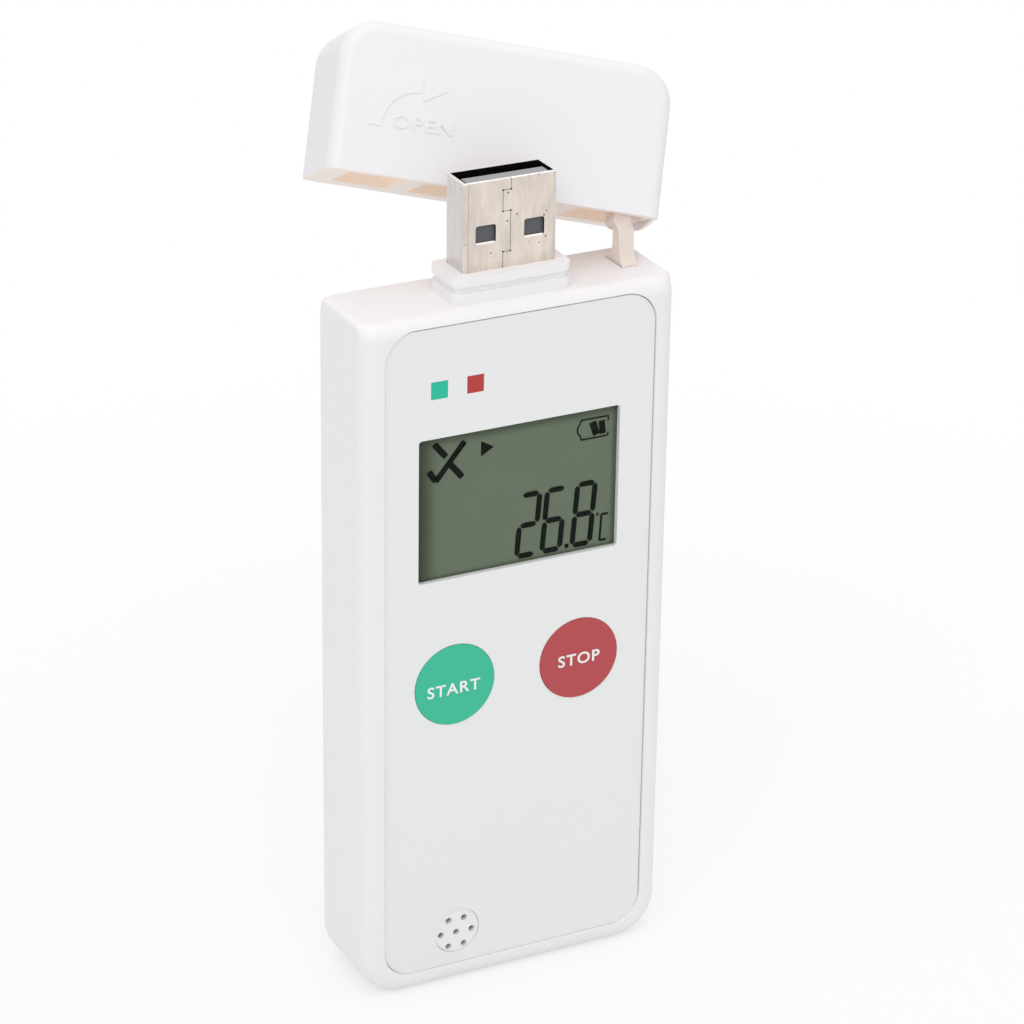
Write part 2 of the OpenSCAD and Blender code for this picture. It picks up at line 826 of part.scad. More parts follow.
front_housing();
rear_cover();
cover_seal();
cover_screws();
face_panel();
lcd_window();
lcd_glass();
lcd_backing();
lcd_frame();
contact_strips();
circuit_board();
board_screws();
microcontroller();
memory_chip();
crystal();
charge_capacitor();
battery_holder();
battery_cell();
battery_clip();
start_switch();
stop_switch();
start_button();
stop_button();
green_light();
red_light();
status_leds();
sensor_grille();
sensor_gasket();
humidity_sensor();
usb_collar();
usb_shell();
usb_tongue();
usb_contacts();
strap_foot();
strap_neck();
hinge_pin();
cap_shell();
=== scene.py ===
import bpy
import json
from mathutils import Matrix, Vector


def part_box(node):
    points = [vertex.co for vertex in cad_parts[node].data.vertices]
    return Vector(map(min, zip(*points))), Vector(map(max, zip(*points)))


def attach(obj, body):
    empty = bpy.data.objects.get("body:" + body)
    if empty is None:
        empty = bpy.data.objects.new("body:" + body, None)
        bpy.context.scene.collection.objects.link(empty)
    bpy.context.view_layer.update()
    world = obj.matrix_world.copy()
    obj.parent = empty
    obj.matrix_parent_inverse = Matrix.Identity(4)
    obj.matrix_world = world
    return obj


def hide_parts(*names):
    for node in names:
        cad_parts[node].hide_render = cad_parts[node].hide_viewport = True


bl_info = {
    "name": "Temperature data logger",
    "version": (1, 0, 0),
    "blender": (4, 5, 0),
    "location": "View3D > Sidebar > Logger",
    "description": "Dresses the packed temperature data logger: case, display, keys, plug, strap and cap",
    "category": "Object",
}

import json
import math

import bpy
from bpy.props import FloatProperty, FloatVectorProperty, PointerProperty, StringProperty
from mathutils import Matrix, Vector

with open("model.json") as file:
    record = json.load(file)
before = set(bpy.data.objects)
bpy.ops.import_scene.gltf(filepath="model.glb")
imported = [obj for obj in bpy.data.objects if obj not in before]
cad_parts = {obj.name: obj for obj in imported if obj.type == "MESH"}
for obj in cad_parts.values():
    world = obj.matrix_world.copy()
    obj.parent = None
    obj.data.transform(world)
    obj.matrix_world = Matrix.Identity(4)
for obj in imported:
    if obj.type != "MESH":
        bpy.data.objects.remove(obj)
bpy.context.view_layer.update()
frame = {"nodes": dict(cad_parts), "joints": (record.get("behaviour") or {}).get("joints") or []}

# Lengths are written in millimetres, and this makes them Blender's metres
MM = 0.001
# Places closer than this are the same, in millimetres
NEAR = 1e-3
# Vertices closer than this are merged, in metres: in new pieces and in copies of CAD nodes
WELD, CAD_WELD = 1e-7, 2e-6


def linear(hex_colour):
    """An sRGB hex colour as linear red, green, blue and alpha."""
    parts = [int(hex_colour[i:i + 2], 16) / 255 for i in (1, 3, 5)]
    return tuple(c / 12.92 if c <= 0.04045 else ((c + 0.055) / 1.055) ** 2.4 for c in parts) + (1.0,)


class LoggerColours(bpy.types.PropertyGroup):
    case: FloatVectorProperty(name="Case", description="White plastic of the case and its rear cover",
                              subtype="COLOR", size=4, min=0, max=1, default=linear("#f1eef0"))
    cap: FloatVectorProperty(name="Cap", description="White plastic of the cap",
                             subtype="COLOR", size=4, min=0, max=1, default=linear("#eeecef"))
    strap: FloatVectorProperty(name="Strap", description="Soft plastic of the strap between case and cap",
                               subtype="COLOR", size=4, min=0, max=1, default=linear("#ecdfd6"))
    film: FloatVectorProperty(name="Face film", description="Film over the front of the case",
                              subtype="COLOR", size=4, min=0, max=1, default=linear("#ebedec"))
    display: FloatVectorProperty(name="Display", description="Grey-green ground of the display",
                                 subtype="COLOR", size=4, min=0, max=1, default=linear("#667360"))
    start: FloatVectorProperty(name="START key", description="Printed green of the START key",
                               subtype="COLOR", size=4, min=0, max=1, default=linear("#2abd98"))
    stop: FloatVectorProperty(name="STOP key", description="Printed red of the STOP key",
                              subtype="COLOR", size=4, min=0, max=1, default=linear("#b63f45"))
    nickel: FloatVectorProperty(name="Plug shell", description="Nickel plating of the plug's shell",
                                subtype="COLOR", size=4, min=0, max=1, default=linear("#e6dbd0"))


class LoggerSizes(bpy.types.PropertyGroup):
    soft_edge: FloatProperty(name="Soft edge", description="Radius of the case's moulded edges",
                             subtype="DISTANCE", default=0.12 * MM, min=0.02 * MM, max=0.3 * MM)
    word_height: FloatProperty(name="Word height", description="Height of the words START and STOP",
                               subtype="DISTANCE", default=1.52 * MM, min=1 * MM, max=2.4 * MM)
    raised: FloatProperty(name="Raised sign", description="Height of the arrow and the word on the cap",
                          subtype="DISTANCE", default=0.12 * MM, min=0.05 * MM, max=0.3 * MM)
    seam: FloatProperty(name="Plug seam", description="Width of the dovetail seam in the plug",
                        subtype="DISTANCE", default=0.06 * MM, min=0.02 * MM, max=0.12 * MM)
    reading: StringProperty(name="Reading", description="Digits that the display shows", default="26.8")


# Small tools

def sizes():
    """The sizes that the panel shows."""
    return bpy.context.scene.logger_sizes


def colours():
    """The colours that the panel shows."""
    return bpy.context.scene.logger_colours


def alone(obj=None):
    """Deselects everything, and selects one object alone."""
    if bpy.context.object and bpy.context.object.mode != "OBJECT":
        bpy.ops.object.mode_set(mode="OBJECT")
    bpy.ops.object.select_all(action="DESELECT")
    if obj:
        bpy.context.view_layer.objects.active = obj
        obj.select_set(True)
    return obj


def settle(name):
    """Names the active object and writes its place into its mesh."""
    obj = bpy.context.object
    bpy.ops.object.transform_apply(location=True, rotation=True, scale=True)
    obj.name = obj.data.name = name
    return obj


def block(name, low, high):
    """A cube at its size and place, as the start of a piece."""
    alone()
    low, high = Vector(low), Vector(high)
    bpy.ops.mesh.primitive_cube_add(size=1, location=(low + high) / 2 * MM, scale=(high - low) * MM)
    return settle(name)


def disc(name, x, z, y0, y1, radius, sides=96):
    """A cylinder along Y at its size and place."""
    alone()
    bpy.ops.mesh.primitive_cylinder_add(vertices=sides, radius=radius * MM, depth=(y1 - y0) * MM,
                                        location=Vector((x, (y0 + y1) / 2, z)) * MM,
                                        rotation=(math.pi / 2, 0, 0))
    return settle(name)


def wedge(name, x, z, y0, y1, radius):
    """A triangle seen from the front, which points right."""
    alone()
    bpy.ops.mesh.primitive_cylinder_add(vertices=3, radius=radius * MM, depth=(y1 - y0) * MM,
                                        location=Vector((x, (y0 + y1) / 2, z)) * MM,
                                        rotation=(math.pi / 2, math.pi / 2, 0))
    return settle(name)


def pick(obj, kind, test):
    """Opens a piece in edit mode with the edges selected whose ends pass the test, or the faces whose
    middle and normal pass it."""
    alone(obj)
    mesh = obj.data
    bpy.ops.object.mode_set(mode="EDIT")
    bpy.ops.mesh.select_mode(type="EDGE" if kind == "edge" else "FACE")
    bpy.ops.mesh.select_all(action="DESELECT")
    bpy.ops.object.mode_set(mode="OBJECT")
    if kind == "edge":
        for e in mesh.edges:
            a, b = (mesh.vertices[i].co / MM for i in e.vertices)
            e.select = test(a, b)
    else:
        for f in mesh.polygons:
            f.select = test(f.center / MM, f.normal)
    bpy.ops.object.mode_set(mode="EDIT")


def pick_all(obj):
    """Opens a piece in edit mode with all of it selected."""
    alone(obj)
    bpy.ops.object.mode_set(mode="EDIT")
    bpy.ops.mesh.select_all(action="SELECT")


def done():
    """Leaves edit mode."""
    bpy.ops.object.mode_set(mode="OBJECT")


def lies_along(a, b, axis):
    """Whether an edge runs along x, y or z."""
    return all(abs(a[i] - b[i]) < NEAR for i in range(3) if i != axis) and abs(a[axis] - b[axis]) > NEAR


def round_off(obj, radius, steps, test):
    """Rounds the edges whose ends pass the test."""
    pick(obj, "edge", test)
    bpy.ops.mesh.bevel(offset=radius * MM, offset_type="OFFSET", segments=steps, affect="EDGES",
                       clamp_overlap=False)
    bpy.ops.mesh.remove_doubles(threshold=WELD)
    done()
    return obj


def plate(name, low, high, lower, upper, steps=14):
    """A block whose corners, seen from the front, are rounded by the lower and upper radius."""
    obj = block(name, low, high)
    middle = (low[2] + high[2]) / 2
    if lower:
        round_off(obj, lower, steps, lambda a, b: lies_along(a, b, 1) and a.z < middle)
    if upper:
        round_off(obj, upper, steps, lambda a, b: lies_along(a, b, 1) and a.z > middle)
    return obj


def post(name, low, high, radius, steps=8):
    """A block whose upright edges are rounded."""
    return round_off(block(name, low, high), radius, steps, lambda a, b: lies_along(a, b, 2))


def modify(obj, kind, **settings):
    """Adds a modifier with its settings to the active piece, and applies it."""
    bpy.ops.object.modifier_add(type=kind)
    step = obj.modifiers[-1]
    for key, value in settings.items():
        setattr(step, key, value)
    bpy.ops.object.modifier_apply(modifier=step.name)


def combine(obj, tool, how="DIFFERENCE"):
    """Cuts a tool out of a piece or adds it to the piece, and puts the tool away."""
    alone(obj)
    modify(obj, "BOOLEAN", operation=how, object=tool, solver="EXACT")
    bpy.data.objects.remove(tool)
    return obj


# Angle under which neighbouring faces count as flat, in degrees
FLAT = 0.4


def soften(obj, edge, steps=2, angle=38):
    """Gives edges that turn by more than an angle in degrees a small radius, and smooths the rest."""
    pick_all(obj)
    bpy.ops.mesh.remove_doubles(threshold=WELD)
    bpy.ops.mesh.dissolve_limited(angle_limit=math.radians(FLAT))
    done()
    if edge:
        modify(obj, "BEVEL", width=edge * MM, segments=steps, limit_method="ANGLE",
               angle_limit=math.radians(angle), use_clamp_overlap=True)
    bpy.ops.object.shade_smooth_by_angle(angle=math.radians(angle))
    modify(obj, "WEIGHTED_NORMAL", keep_sharp=True)
    return obj


def cad_copy(node, name, edge):
    """A copy of a CAD node with its loose triangles merged and its edges softened."""
    obj = bpy.data.objects.new(name, frame["nodes"][node].data.copy())
    obj.data.name = name
    bpy.context.scene.collection.objects.link(obj)
    alone(obj)
    bpy.ops.mesh.customdata_custom_splitnormals_clear()
    pick_all(obj)
    bpy.ops.mesh.remove_doubles(threshold=CAD_WELD)
    done()
    return soften(obj, edge)


def join(pieces, name):
    """Several pieces as one."""
    alone(pieces[0])
    for p in pieces:
        p.select_set(True)
    bpy.ops.object.join()
    obj = bpy.context.object
    obj.name = obj.data.name = name
    return obj


# Lettering: height of a capital as a share of the font's size, letter spacing, and what each stroke gains
CAPITAL_SHARE, LETTER_SPACE, BOLD = 0.729, 1.12, 0.03


def word(name, text, centre, height, depth, wide):
    """Lettering as a mesh that faces the front, of a size and centred on a point."""
    alone()
    bpy.ops.object.text_add(location=(0, 0, 0), rotation=(math.pi / 2, 0, 0))
    obj = bpy.context.object
    letters = obj.data
    letters.body, letters.size, letters.extrude = text, height / CAPITAL_SHARE * MM, depth / 2 * MM
    letters.align_x, letters.align_y = "CENTER", "BOTTOM_BASELINE"
    letters.space_character, letters.offset, letters.resolution_u = LETTER_SPACE, BOLD * MM, 6
    bpy.ops.object.convert(target="MESH")
    obj = settle(name)
    low, high = corners(obj)
    obj.scale = (wide * MM / (high.x - low.x), 1, height * MM / (high.z - low.z))
    obj = settle(name)
    low, high = corners(obj)
    obj.location = Vector(centre) * MM - (low + high) / 2
    return settle(name)


def corners(obj):
    """Lowest and highest corner of a mesh."""
    points = [v.co for v in obj.data.vertices]
    return (Vector([min(p[i] for p in points) for i in range(3)]),
            Vector([max(p[i] for p in points) for i in range(3)]))


def carry(obj, body, slot, paint, *stands_for):
    """Paints a piece, fixes it to its body and lets it stand for its CAD nodes."""
    if paint:
        obj.data.materials.clear()
        obj.data.materials.append(paint)
    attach(obj, body)
    if stands_for:
        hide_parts(*stands_for)
    return obj


def box_mm(node):
    """Lowest and highest corner of a CAD node."""
    low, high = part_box(node)
    return low / MM, high / MM


def front_middle(node):
    """The middle of a CAD node seen from the front: x and z."""
    low, high = box_mm(node)
    return (low.x + high.x) / 2, (low.z + high.z) / 2


# Finishes

def add(tree, kind, links=None, **settings):
    """Adds a node and gives its outputs. Settings go to its properties or its inputs by name."""
    node = tree.nodes.new(kind)
    for key, value in settings.items():
        if key in node.bl_rna.properties:
            setattr(node, key, value)
        else:
            socket = next(s for s in node.inputs if s.enabled and s.name == key.replace("_", " "))
            socket.default_value = value
    for key, source in (links or {}).items():
        target = node.inputs[key] if isinstance(key, int) else next(
            s for s in node.inputs if s.enabled and s.name == key)
        tree.links.new(source, target)
    return [s for s in node.outputs if s.enabled]


def shader(name, colour, **settings):
    """A fresh material whose shader has the constants of the real stuff."""
    material = bpy.data.materials.new(name)
    material.use_nodes = True
    surface = material.node_tree.nodes["Principled BSDF"]
    surface.inputs["Base Color"].default_value = colour
    for key, value in settings.items():
        surface.inputs[key.replace("_", " ")].default_value = value
    material.diffuse_color = colour
    return material, material.node_tree, surface


def shaded(colour, factor):
    """A colour made lighter or darker by a factor."""
    return tuple(min(1.0, c * factor) for c in colour[:3]) + (1.0,)


# How far apart a moulding's slow changes of tone and gloss lie
DRIFT_APART = 14


def moulded(name, colour, grain=0.22, depth=0.004, rough=(0.42, 0.52), drift=0.012, **settings):
    """Injection-moulded plastic: a spark-eroded grain, a slow drift of tone and patches of finer gloss."""
    material, tree, surface = shader(name, colour, **{"IOR": 1.54, **settings})
    place = add(tree, "ShaderNodeTexCoord")[3]
    slow = add(tree, "ShaderNodeTexNoise", {"Vector": place}, Scale=1 / (DRIFT_APART * MM), Detail=3.0)[0]
    tone = add(tree, "ShaderNodeMix", {"Factor": slow}, data_type="RGBA",
               A=shaded(colour, 1 - drift), B=shaded(colour, 1 + drift))[0]
    tree.links.new(tone, surface.inputs["Base Color"])
    gloss = add(tree, "ShaderNodeMapRange", {"Value": slow}, To_Min=rough[0], To_Max=rough[1])[0]
    tree.links.new(gloss, surface.inputs["Roughness"])
    fine = add(tree, "ShaderNodeTexNoise", {"Vector": place}, Scale=1 / (grain * MM), Detail=2.0)[0]
    bump = add(tree, "ShaderNodeBump", {"Height": fine}, Strength=0.5, Distance=depth * MM)[0]
    tree.links.new(bump, surface.inputs["Normal"])
    return material


# Plated sheet: distance of its draw lines, tarnished patches and specks, and the depth of the draw lines.
# Real draw lines lie well under 0.1 mm apart, too fine to show here, so they are drawn coarser.
LINES_APART, PATCHES_APART, SPECKS_APART, LINE_DEEP = 0.35, 1.6, 1.3, 0.003
# Scale of the lines and of the patches along the sheet, as a share of their scale across it
LINE_SHARE, PATCH_SHARE = 0.03, 0.35


def plated(name, colour, along=2, rough=(0.24, 0.4), specks=0.0, patches=0.1):
    """Drawn and plated metal: draw lines along one axis, tarnished patches and a few dark specks."""
    material, tree, surface = shader(name, colour, Metallic=1.0)
    place = add(tree, "ShaderNodeTexCoord")[3]
    stretch = [1.0, 1.0, 1.0]
    stretch[along] = LINE_SHARE
    lines_at = add(tree, "ShaderNodeMapping", {"Vector": place}, Scale=stretch)[0]
    lines = add(tree, "ShaderNodeTexNoise", {"Vector": lines_at}, Scale=1 / (LINES_APART * MM),
                Detail=4.0, Roughness=0.65)[0]
    stretch[along] = PATCH_SHARE
    patch_at = add(tree, "ShaderNodeMapping", {"Vector": place}, Scale=stretch)[0]
    patch = add(tree, "ShaderNodeTexNoise", {"Vector": patch_at}, Scale=1 / (PATCHES_APART * MM),
                Detail=5.0, Roughness=0.6, Distortion=0.4)[0]
    spread = add(tree, "ShaderNodeMapRange", {"Value": patch}, From_Min=0.36, From_Max=0.64)[0]
    tone = add(tree, "ShaderNodeMix", {"Factor": spread}, data_type="RGBA",
               A=shaded(colour, 1 - patches), B=shaded(colour, 1 + patches))[0]
    fine = add(tree, "ShaderNodeMapRange", {"Value": lines}, From_Min=0.3, From_Max=0.7, To_Min=0.0,
               To_Max=0.16)[0]
    tone = add(tree, "ShaderNodeMix", {"Factor": fine, "A": tone}, data_type="RGBA",
               B=shaded(colour, 0.55))[0]
    if specks:
        dots = add(tree, "ShaderNodeTexVoronoi", {"Vector": place}, Scale=1 / (SPECKS_APART * MM))[0]
        dark = add(tree, "ShaderNodeMapRange", {"Value": dots}, From_Min=0.07, From_Max=0.12,
                   To_Min=specks, To_Max=0.0)[0]
        tone = add(tree, "ShaderNodeMix", {"Factor": dark, "A": tone}, data_type="RGBA",
                   B=linear("#4a423c"))[0]
    tree.links.new(tone, surface.inputs["Base Color"])
    gloss = add(tree, "ShaderNodeMapRange", {"Value": lines}, From_Min=0.3, From_Max=0.7,
                To_Min=rough[0], To_Max=rough[1])[0]
    tree.links.new(gloss, surface.inputs["Roughness"])
    bump = add(tree, "ShaderNodeBump", {"Height": lines}, Strength=0.4, Distance=LINE_DEEP * MM)[0]
    tree.links.new(bump, surface.inputs["Normal"])
    return material


# How far the painted shade of the frame reaches into the display from the left, right, upper and lower
# edge, and the light that is left at each edge
SHADE_REACH = (3.2, 0.8, 1.5, 0.5)
SHADE_LEAST = (0.0, 0.35, 0.3, 0.5)
# Grain of the reflector behind the display
REFLECTOR_GRAIN = 0.3


def display_ground(name, colour, low, high):
    """Rear polariser and reflector of a liquid crystal display: even grey-green, with painted shade near
    its edges that stands in for the frame's shadow, most at the left and upper edge."""
    material, tree, surface = shader(name, colour, IOR=1.5, Specular_IOR_Level=0.2)
    place = add(tree, "ShaderNodeTexCoord")[3]
    x, _, z = add(tree, "ShaderNodeSeparateXYZ", {"Vector": place})
    shade = None
    edges = ((x, low.x, 1), (x, high.x, -1), (z, high.z, -1), (z, low.z, 1))
    for (axis, start, inward), reach, least in zip(edges, SHADE_REACH, SHADE_LEAST):
        edge = add(tree, "ShaderNodeMapRange", {"Value": axis}, interpolation_type="SMOOTHSTEP",
                   From_Min=start * MM, From_Max=(start + inward * reach) * MM, To_Min=least,
                   To_Max=1.0)[0]
        shade = edge if shade is None else add(tree, "ShaderNodeMath", {0: shade, 1: edge},
                                               operation="MULTIPLY")[0]
    grain = add(tree, "ShaderNodeTexNoise", {"Vector": place}, Scale=1 / (REFLECTOR_GRAIN * MM),
                Detail=2.0)[0]
    soft = add(tree, "ShaderNodeMapRange", {"Value": grain}, To_Min=-0.05, To_Max=0.05)[0]
    shade = add(tree, "ShaderNodeMath", {0: shade, 1: soft}, operation="ADD", use_clamp=True)[0]
    # The dark colour is the painted shadow of the frame near the display's edges
    tone = add(tree, "ShaderNodeMix", {"Factor": shade}, data_type="RGBA", A=linear("#37412f"),
               B=colour)[0]
    tree.links.new(tone, surface.inputs["Base Color"])
    gloss = add(tree, "ShaderNodeMapRange", {"Value": grain}, To_Min=0.3, To_Max=0.42)[0]
    tree.links.new(gloss, surface.inputs["Roughness"])
    return material


# How far apart the changes of haze in the window lie
HAZE_APART = 6


def clear_window(name, colour):
    """Clear acrylic with an anti-glare skin: it shows what lies behind and hardly glosses."""
    material, tree, surface = shader(name, colour, IOR=1.49, Alpha=0.01, Specular_IOR_Level=0.12)
    place = add(tree, "ShaderNodeTexCoord")[3]
    haze = add(tree, "ShaderNodeTexNoise", {"Vector": place}, Scale=1 / (HAZE_APART * MM), Detail=3.0)[0]
    gloss = add(tree, "ShaderNodeMapRange", {"Value": haze}, To_Min=0.05, To_Max=0.12)[0]
    tree.links.new(gloss, surface.inputs["Roughness"])
    return material


# Each finish: how it is made, its own colour or the panel's colour that it takes, and its settings. Grain
# and depth are in millimetres. The grain of real mouldings is under 0.1 mm and too fine to show here, so
# it is drawn coarser.
FINISHES = {
    # Spark-eroded white ABS: a matt skin whose gloss drifts a little over the case
    "case_abs": (moulded, "case", {}),
    # The cap's grain is coarser and shallower, so its rounded edges look smoother
    "cap_abs": (moulded, "cap", dict(grain=0.3, depth=0.003)),
    # Painted light: the inside of the bays is painted warm and given a faint glow, standing in for warm
    # light that comes through the thin white walls from behind
    "cap_abs_inside": (moulded, "#fbede0", dict(drift=0.03, Emission_Color=linear("#ffefdf"),
                                                Emission_Strength=0.1)),
    # The underside of the cap's rim, painted a little creamier: painted light that stands in for light
    # coming through the thin walls
    "cap_abs_rim": (moulded, "#f6ebe3", dict(drift=0.03)),
    # Smooth cool white of the collar
    "collar_abs": (moulded, "#f3f2f3", dict(rough=(0.36, 0.44))),
    # Soft plastic, creamier and duller than the case, with a coarser skin
    "strap_elastomer": (moulded, "strap", dict(grain=0.4, drift=0.03, rough=(0.5, 0.62))),
    # Polyester film: even, slightly glossier than the case and faintly green
    "face_film": (moulded, "film", dict(grain=0.16, depth=0.0015, rough=(0.34, 0.4), drift=0.004,
                                        IOR=1.58)),
    # Cool white of the grille with a fine skin
    "grille_abs": (moulded, "#efedf0", dict(grain=0.18)),
    # Screen-printed ink on the keys: deep colour with a faint tooth
    "green_print": (moulded, "start", dict(grain=0.2, depth=0.002, rough=(0.36, 0.44))),
    "red_print": (moulded, "stop", dict(grain=0.2, depth=0.002, rough=(0.36, 0.44))),
    # Dyed clear plastic of the light guides, the shiniest plastic on the face
    "green_guide": (moulded, "#20bf9c", dict(rough=(0.2, 0.3), depth=0.001, Specular_IOR_Level=0.3)),
    "red_guide": (moulded, "#b93a36", dict(rough=(0.2, 0.3), depth=0.001, Specular_IOR_Level=0.3)),
    # Opaque white lettering
    "white_ink": (moulded, "#f2f4f2", dict(grain=0.1, depth=0.001)),
    # Segments that block the light: almost black, with a trace of green
    "display_dark": (moulded, "#070b07", dict(grain=0.1, depth=0.001, rough=(0.4, 0.5),
                                              Specular_IOR_Level=0.05)),
    # Clear acrylic: all but unseen
    "clear_window": (clear_window, "#9aa098", {}),
    # Nickel with draw lines, warm tarnish and a few dark specks
    "nickel_plate": (plated, "nickel", dict(specks=0.8)),
    # The narrow sides: painted cooler and a little darker, a painted reflection of cooler surroundings,
    # with fewer tarnished patches and specks
    "nickel_side": (plated, "#dad5d3", dict(patches=0.05, specks=0.5)),
    # Faces of the shell that turn upward, its cut top, rim bevel and sloping sills: near white and
    # polished, a painted highlight
    "nickel_cut": (plated, "#fdfaf6", dict(rough=(0.12, 0.2), patches=0.02)),
    # Inside of the shell and the walls of its openings, painted near black and without gloss: painted
    # shade for the plug's dark hollow
    "nickel_dark": (plated, "#1d1b1b", dict(rough=(0.6, 0.75), patches=0.2)),
    # Turned and pressed steel of screws, pin, cell and crystal
    "bright_steel": (plated, "#c3c5c7", dict(along=0, rough=(0.2, 0.32))),
    # Gold-plated contacts
    "gold_plate": (plated, "#d8b564", dict(rough=(0.18, 0.3), patches=0.04)),
    # Glass-filled dark grey insulator with a mottled skin
    "tongue_plastic": (moulded, "#5c5d62", dict(grain=0.15, drift=0.08, rough=(0.5, 0.62),
                                                Specular_IOR_Level=0.3)),
    # The tongue's upper end is painted paler: a painted highlight where it faces the light from above
    "tongue_end": (moulded, "#97969a", dict(grain=0.15, drift=0.05)),
    # Black holder of the cell
    "holder_plastic": (moulded, "#2a2b2d", dict(grain=0.15)),
    # Matt black epoxy of chips and switches
    "chip_epoxy": (moulded, "#1f2022", dict(grain=0.08, rough=(0.5, 0.65))),
    # Green solder mask on glass laminate, glossy
    "board_laminate": (moulded, "#2f6b46", dict(grain=0.12, rough=(0.3, 0.4))),
    # Dull dark rubber of seal and gasket
    "seal_rubber": (moulded, "#2c2d2f", dict(grain=0.2, rough=(0.65, 0.8))),
    # Pink silicone of the strips under the display glass
    "strip_rubber": (moulded, "#c46a8a", dict(grain=0.1, rough=(0.6, 0.7))),
    # Printed sleeve of the capacitor
    "can_sleeve": (moulded, "#33507a", dict(grain=0.3, rough=(0.3, 0.4))),
    # Pale reflecting sheet behind the display
    "reflector_sheet": (moulded, "#c9cdc4", dict(grain=0.1, rough=(0.4, 0.5))),
    # Off-white frame of the display and body of the sensor
    "frame_plastic": (moulded, "#e6e6e3", dict(grain=0.15)),
}
# Finishes made so far, by name
MADE = {}


def finish(name):
    """Each finish is made once, when the first piece needs it."""
    if name not in MADE:
        maker, colour, settings = FINISHES[name]
        tone = linear(colour) if colour.startswith("#") else getattr(colours(), colour)[:]
        MADE[name] = maker(name, tone, **settings)
    return MADE[name]


def coat(obj, *names):
    """Gives a piece several finishes, which its faces then choose by number."""
    obj.data.materials.clear()
    for name in names:
        obj.data.materials.append(finish(name))


# Pieces. Their sizes and places are in millimetres, and an edge is the radius that a piece's edges get.

SCREW_EDGE = 0.06


class LOGGER_OT_case(bpy.types.Operator):
    """Front housing and rear cover with soft edges, and the four cover screws"""
    bl_idname = "logger.case"
    bl_label = "Case"

    def execute(self, context):
        soft = sizes().soft_edge / MM
        carry(cad_copy("front_housing", "case_front", soft), "case", "case_white", finish("case_abs"),
              "front_housing")
        carry(cad_copy("rear_cover", "case_back", soft), "case", "case_white", finish("case_abs"),
              "rear_cover")
        carry(cad_copy("cover_screws", "case_screws", SCREW_EDGE), "case", "steel", finish("bright_steel"),
              "cover_screws")
        return {"FINISHED"}


# The film lies low in its recess, with a wider gap at the left and above: moves of its two corners
FILM_LOW_MOVE, FILM_HIGH_MOVE = Vector((0.05, 0, -0.08)), Vector((0.02, 0, -0.06))
FILM_CORNER, FILM_EDGE = 3.8, 0.05
# Openings in the film: room round the window and the lights, and round the grille
OPENING_FIT, GRILLE_FIT = Vector((0.03, 0, 0.03)), 0.05
# Corners of the window's opening, and radius of those for the keys
OPENING_CORNER, KEY_OPENING = 0.4, 5.29
# Near and far end of the tools that cut the round openings
ROUND_NEAR, ROUND_FAR = -9, -3
# How far a cutting tool reaches past what it cuts
PAST = Vector((0, 2, 0))


class LOGGER_OT_face(bpy.types.Operator):
    """Film over the front, with openings for the window, keys, lights and grille"""
    bl_idname = "logger.face"
    bl_label = "Face film"

    def execute(self, context):
        low, high = box_mm("face_panel")
        film = plate("face_film", low + FILM_LOW_MOVE, high + FILM_HIGH_MOVE, FILM_CORNER, FILM_CORNER)
        low, high = box_mm("lcd_window")
        combine(film, plate("window_tool", low - PAST - OPENING_FIT, high + PAST + OPENING_FIT,
                            OPENING_CORNER, OPENING_CORNER, 5))
        for key in ("start_button", "stop_button"):
            combine(film, disc("key_tool", *front_middle(key), ROUND_NEAR, ROUND_FAR, KEY_OPENING))
        for light in ("green_light", "red_light"):
            low, high = box_mm(light)
            combine(film, block("light_tool", low - PAST - OPENING_FIT, high + PAST + OPENING_FIT))
        low, high = box_mm("sensor_grille")
        combine(film, disc("grille_tool", *front_middle("sensor_grille"), ROUND_NEAR, ROUND_FAR,
                           (high.x - low.x) / 2 + GRILLE_FIT))
        carry(soften(film, FILM_EDGE), "case", "panel_film", finish("face_film"), "face_panel")
        return {"FINISHED"}


# Thickness of the display's signs, and how far their front stands before the display cell
SIGN_THICK, SIGN_BEFORE = 0.03, 0.035


def bar(start, end, width, front, point_share=0.0):
    """A flat bar between two places on the display, its ends bevelled by a share of its width."""
    alone()
    (x0, z0), (x1, z1) = start, end
    length = math.hypot(x1 - x0, z1 - z0)
    bpy.ops.mesh.primitive_cube_add(size=1, location=(0, 0, 0),
                                    scale=Vector((length, SIGN_THICK, width)) * MM)
    piece = settle("bar")
    if point_share:
        round_off(piece, width * point_share, 1, lambda a, b: lies_along(a, b, 1))
    piece.rotation_euler = (0, -math.atan2(z1 - z0, x1 - x0), 0)
    piece.location = Vector(((x0 + x1) / 2, front + SIGN_THICK / 2, (z0 + z1) / 2)) * MM
    alone(piece)
    return settle("bar")


# Lit segments of each digit: upper, upper right, lower right, lower, lower left, upper left, middle
SEGMENTS = {"0": "abcdef", "1": "bc", "2": "abged", "3": "abgcd", "4": "fgbc", "5": "afgcd",
            "6": "afgedc", "7": "abc", "8": "abcdefg", "9": "abfgcd"}
# Left foot of each of the three digits, then their foot, width, height, stroke and gap between segments
DIGIT_FEET = (-0.38, 3.0, 7.05)
DIGIT_LOW, DIGIT_WIDE, DIGIT_HIGH, DIGIT_LINE, DIGIT_GAP = 55.65, 3.06, 8.5, 0.7, 0.13
# How much a digit leans for its height, and how much of its stroke's width is bevelled
LEAN_SHARE, DIGIT_POINT_SHARE = 0.08, 0.42


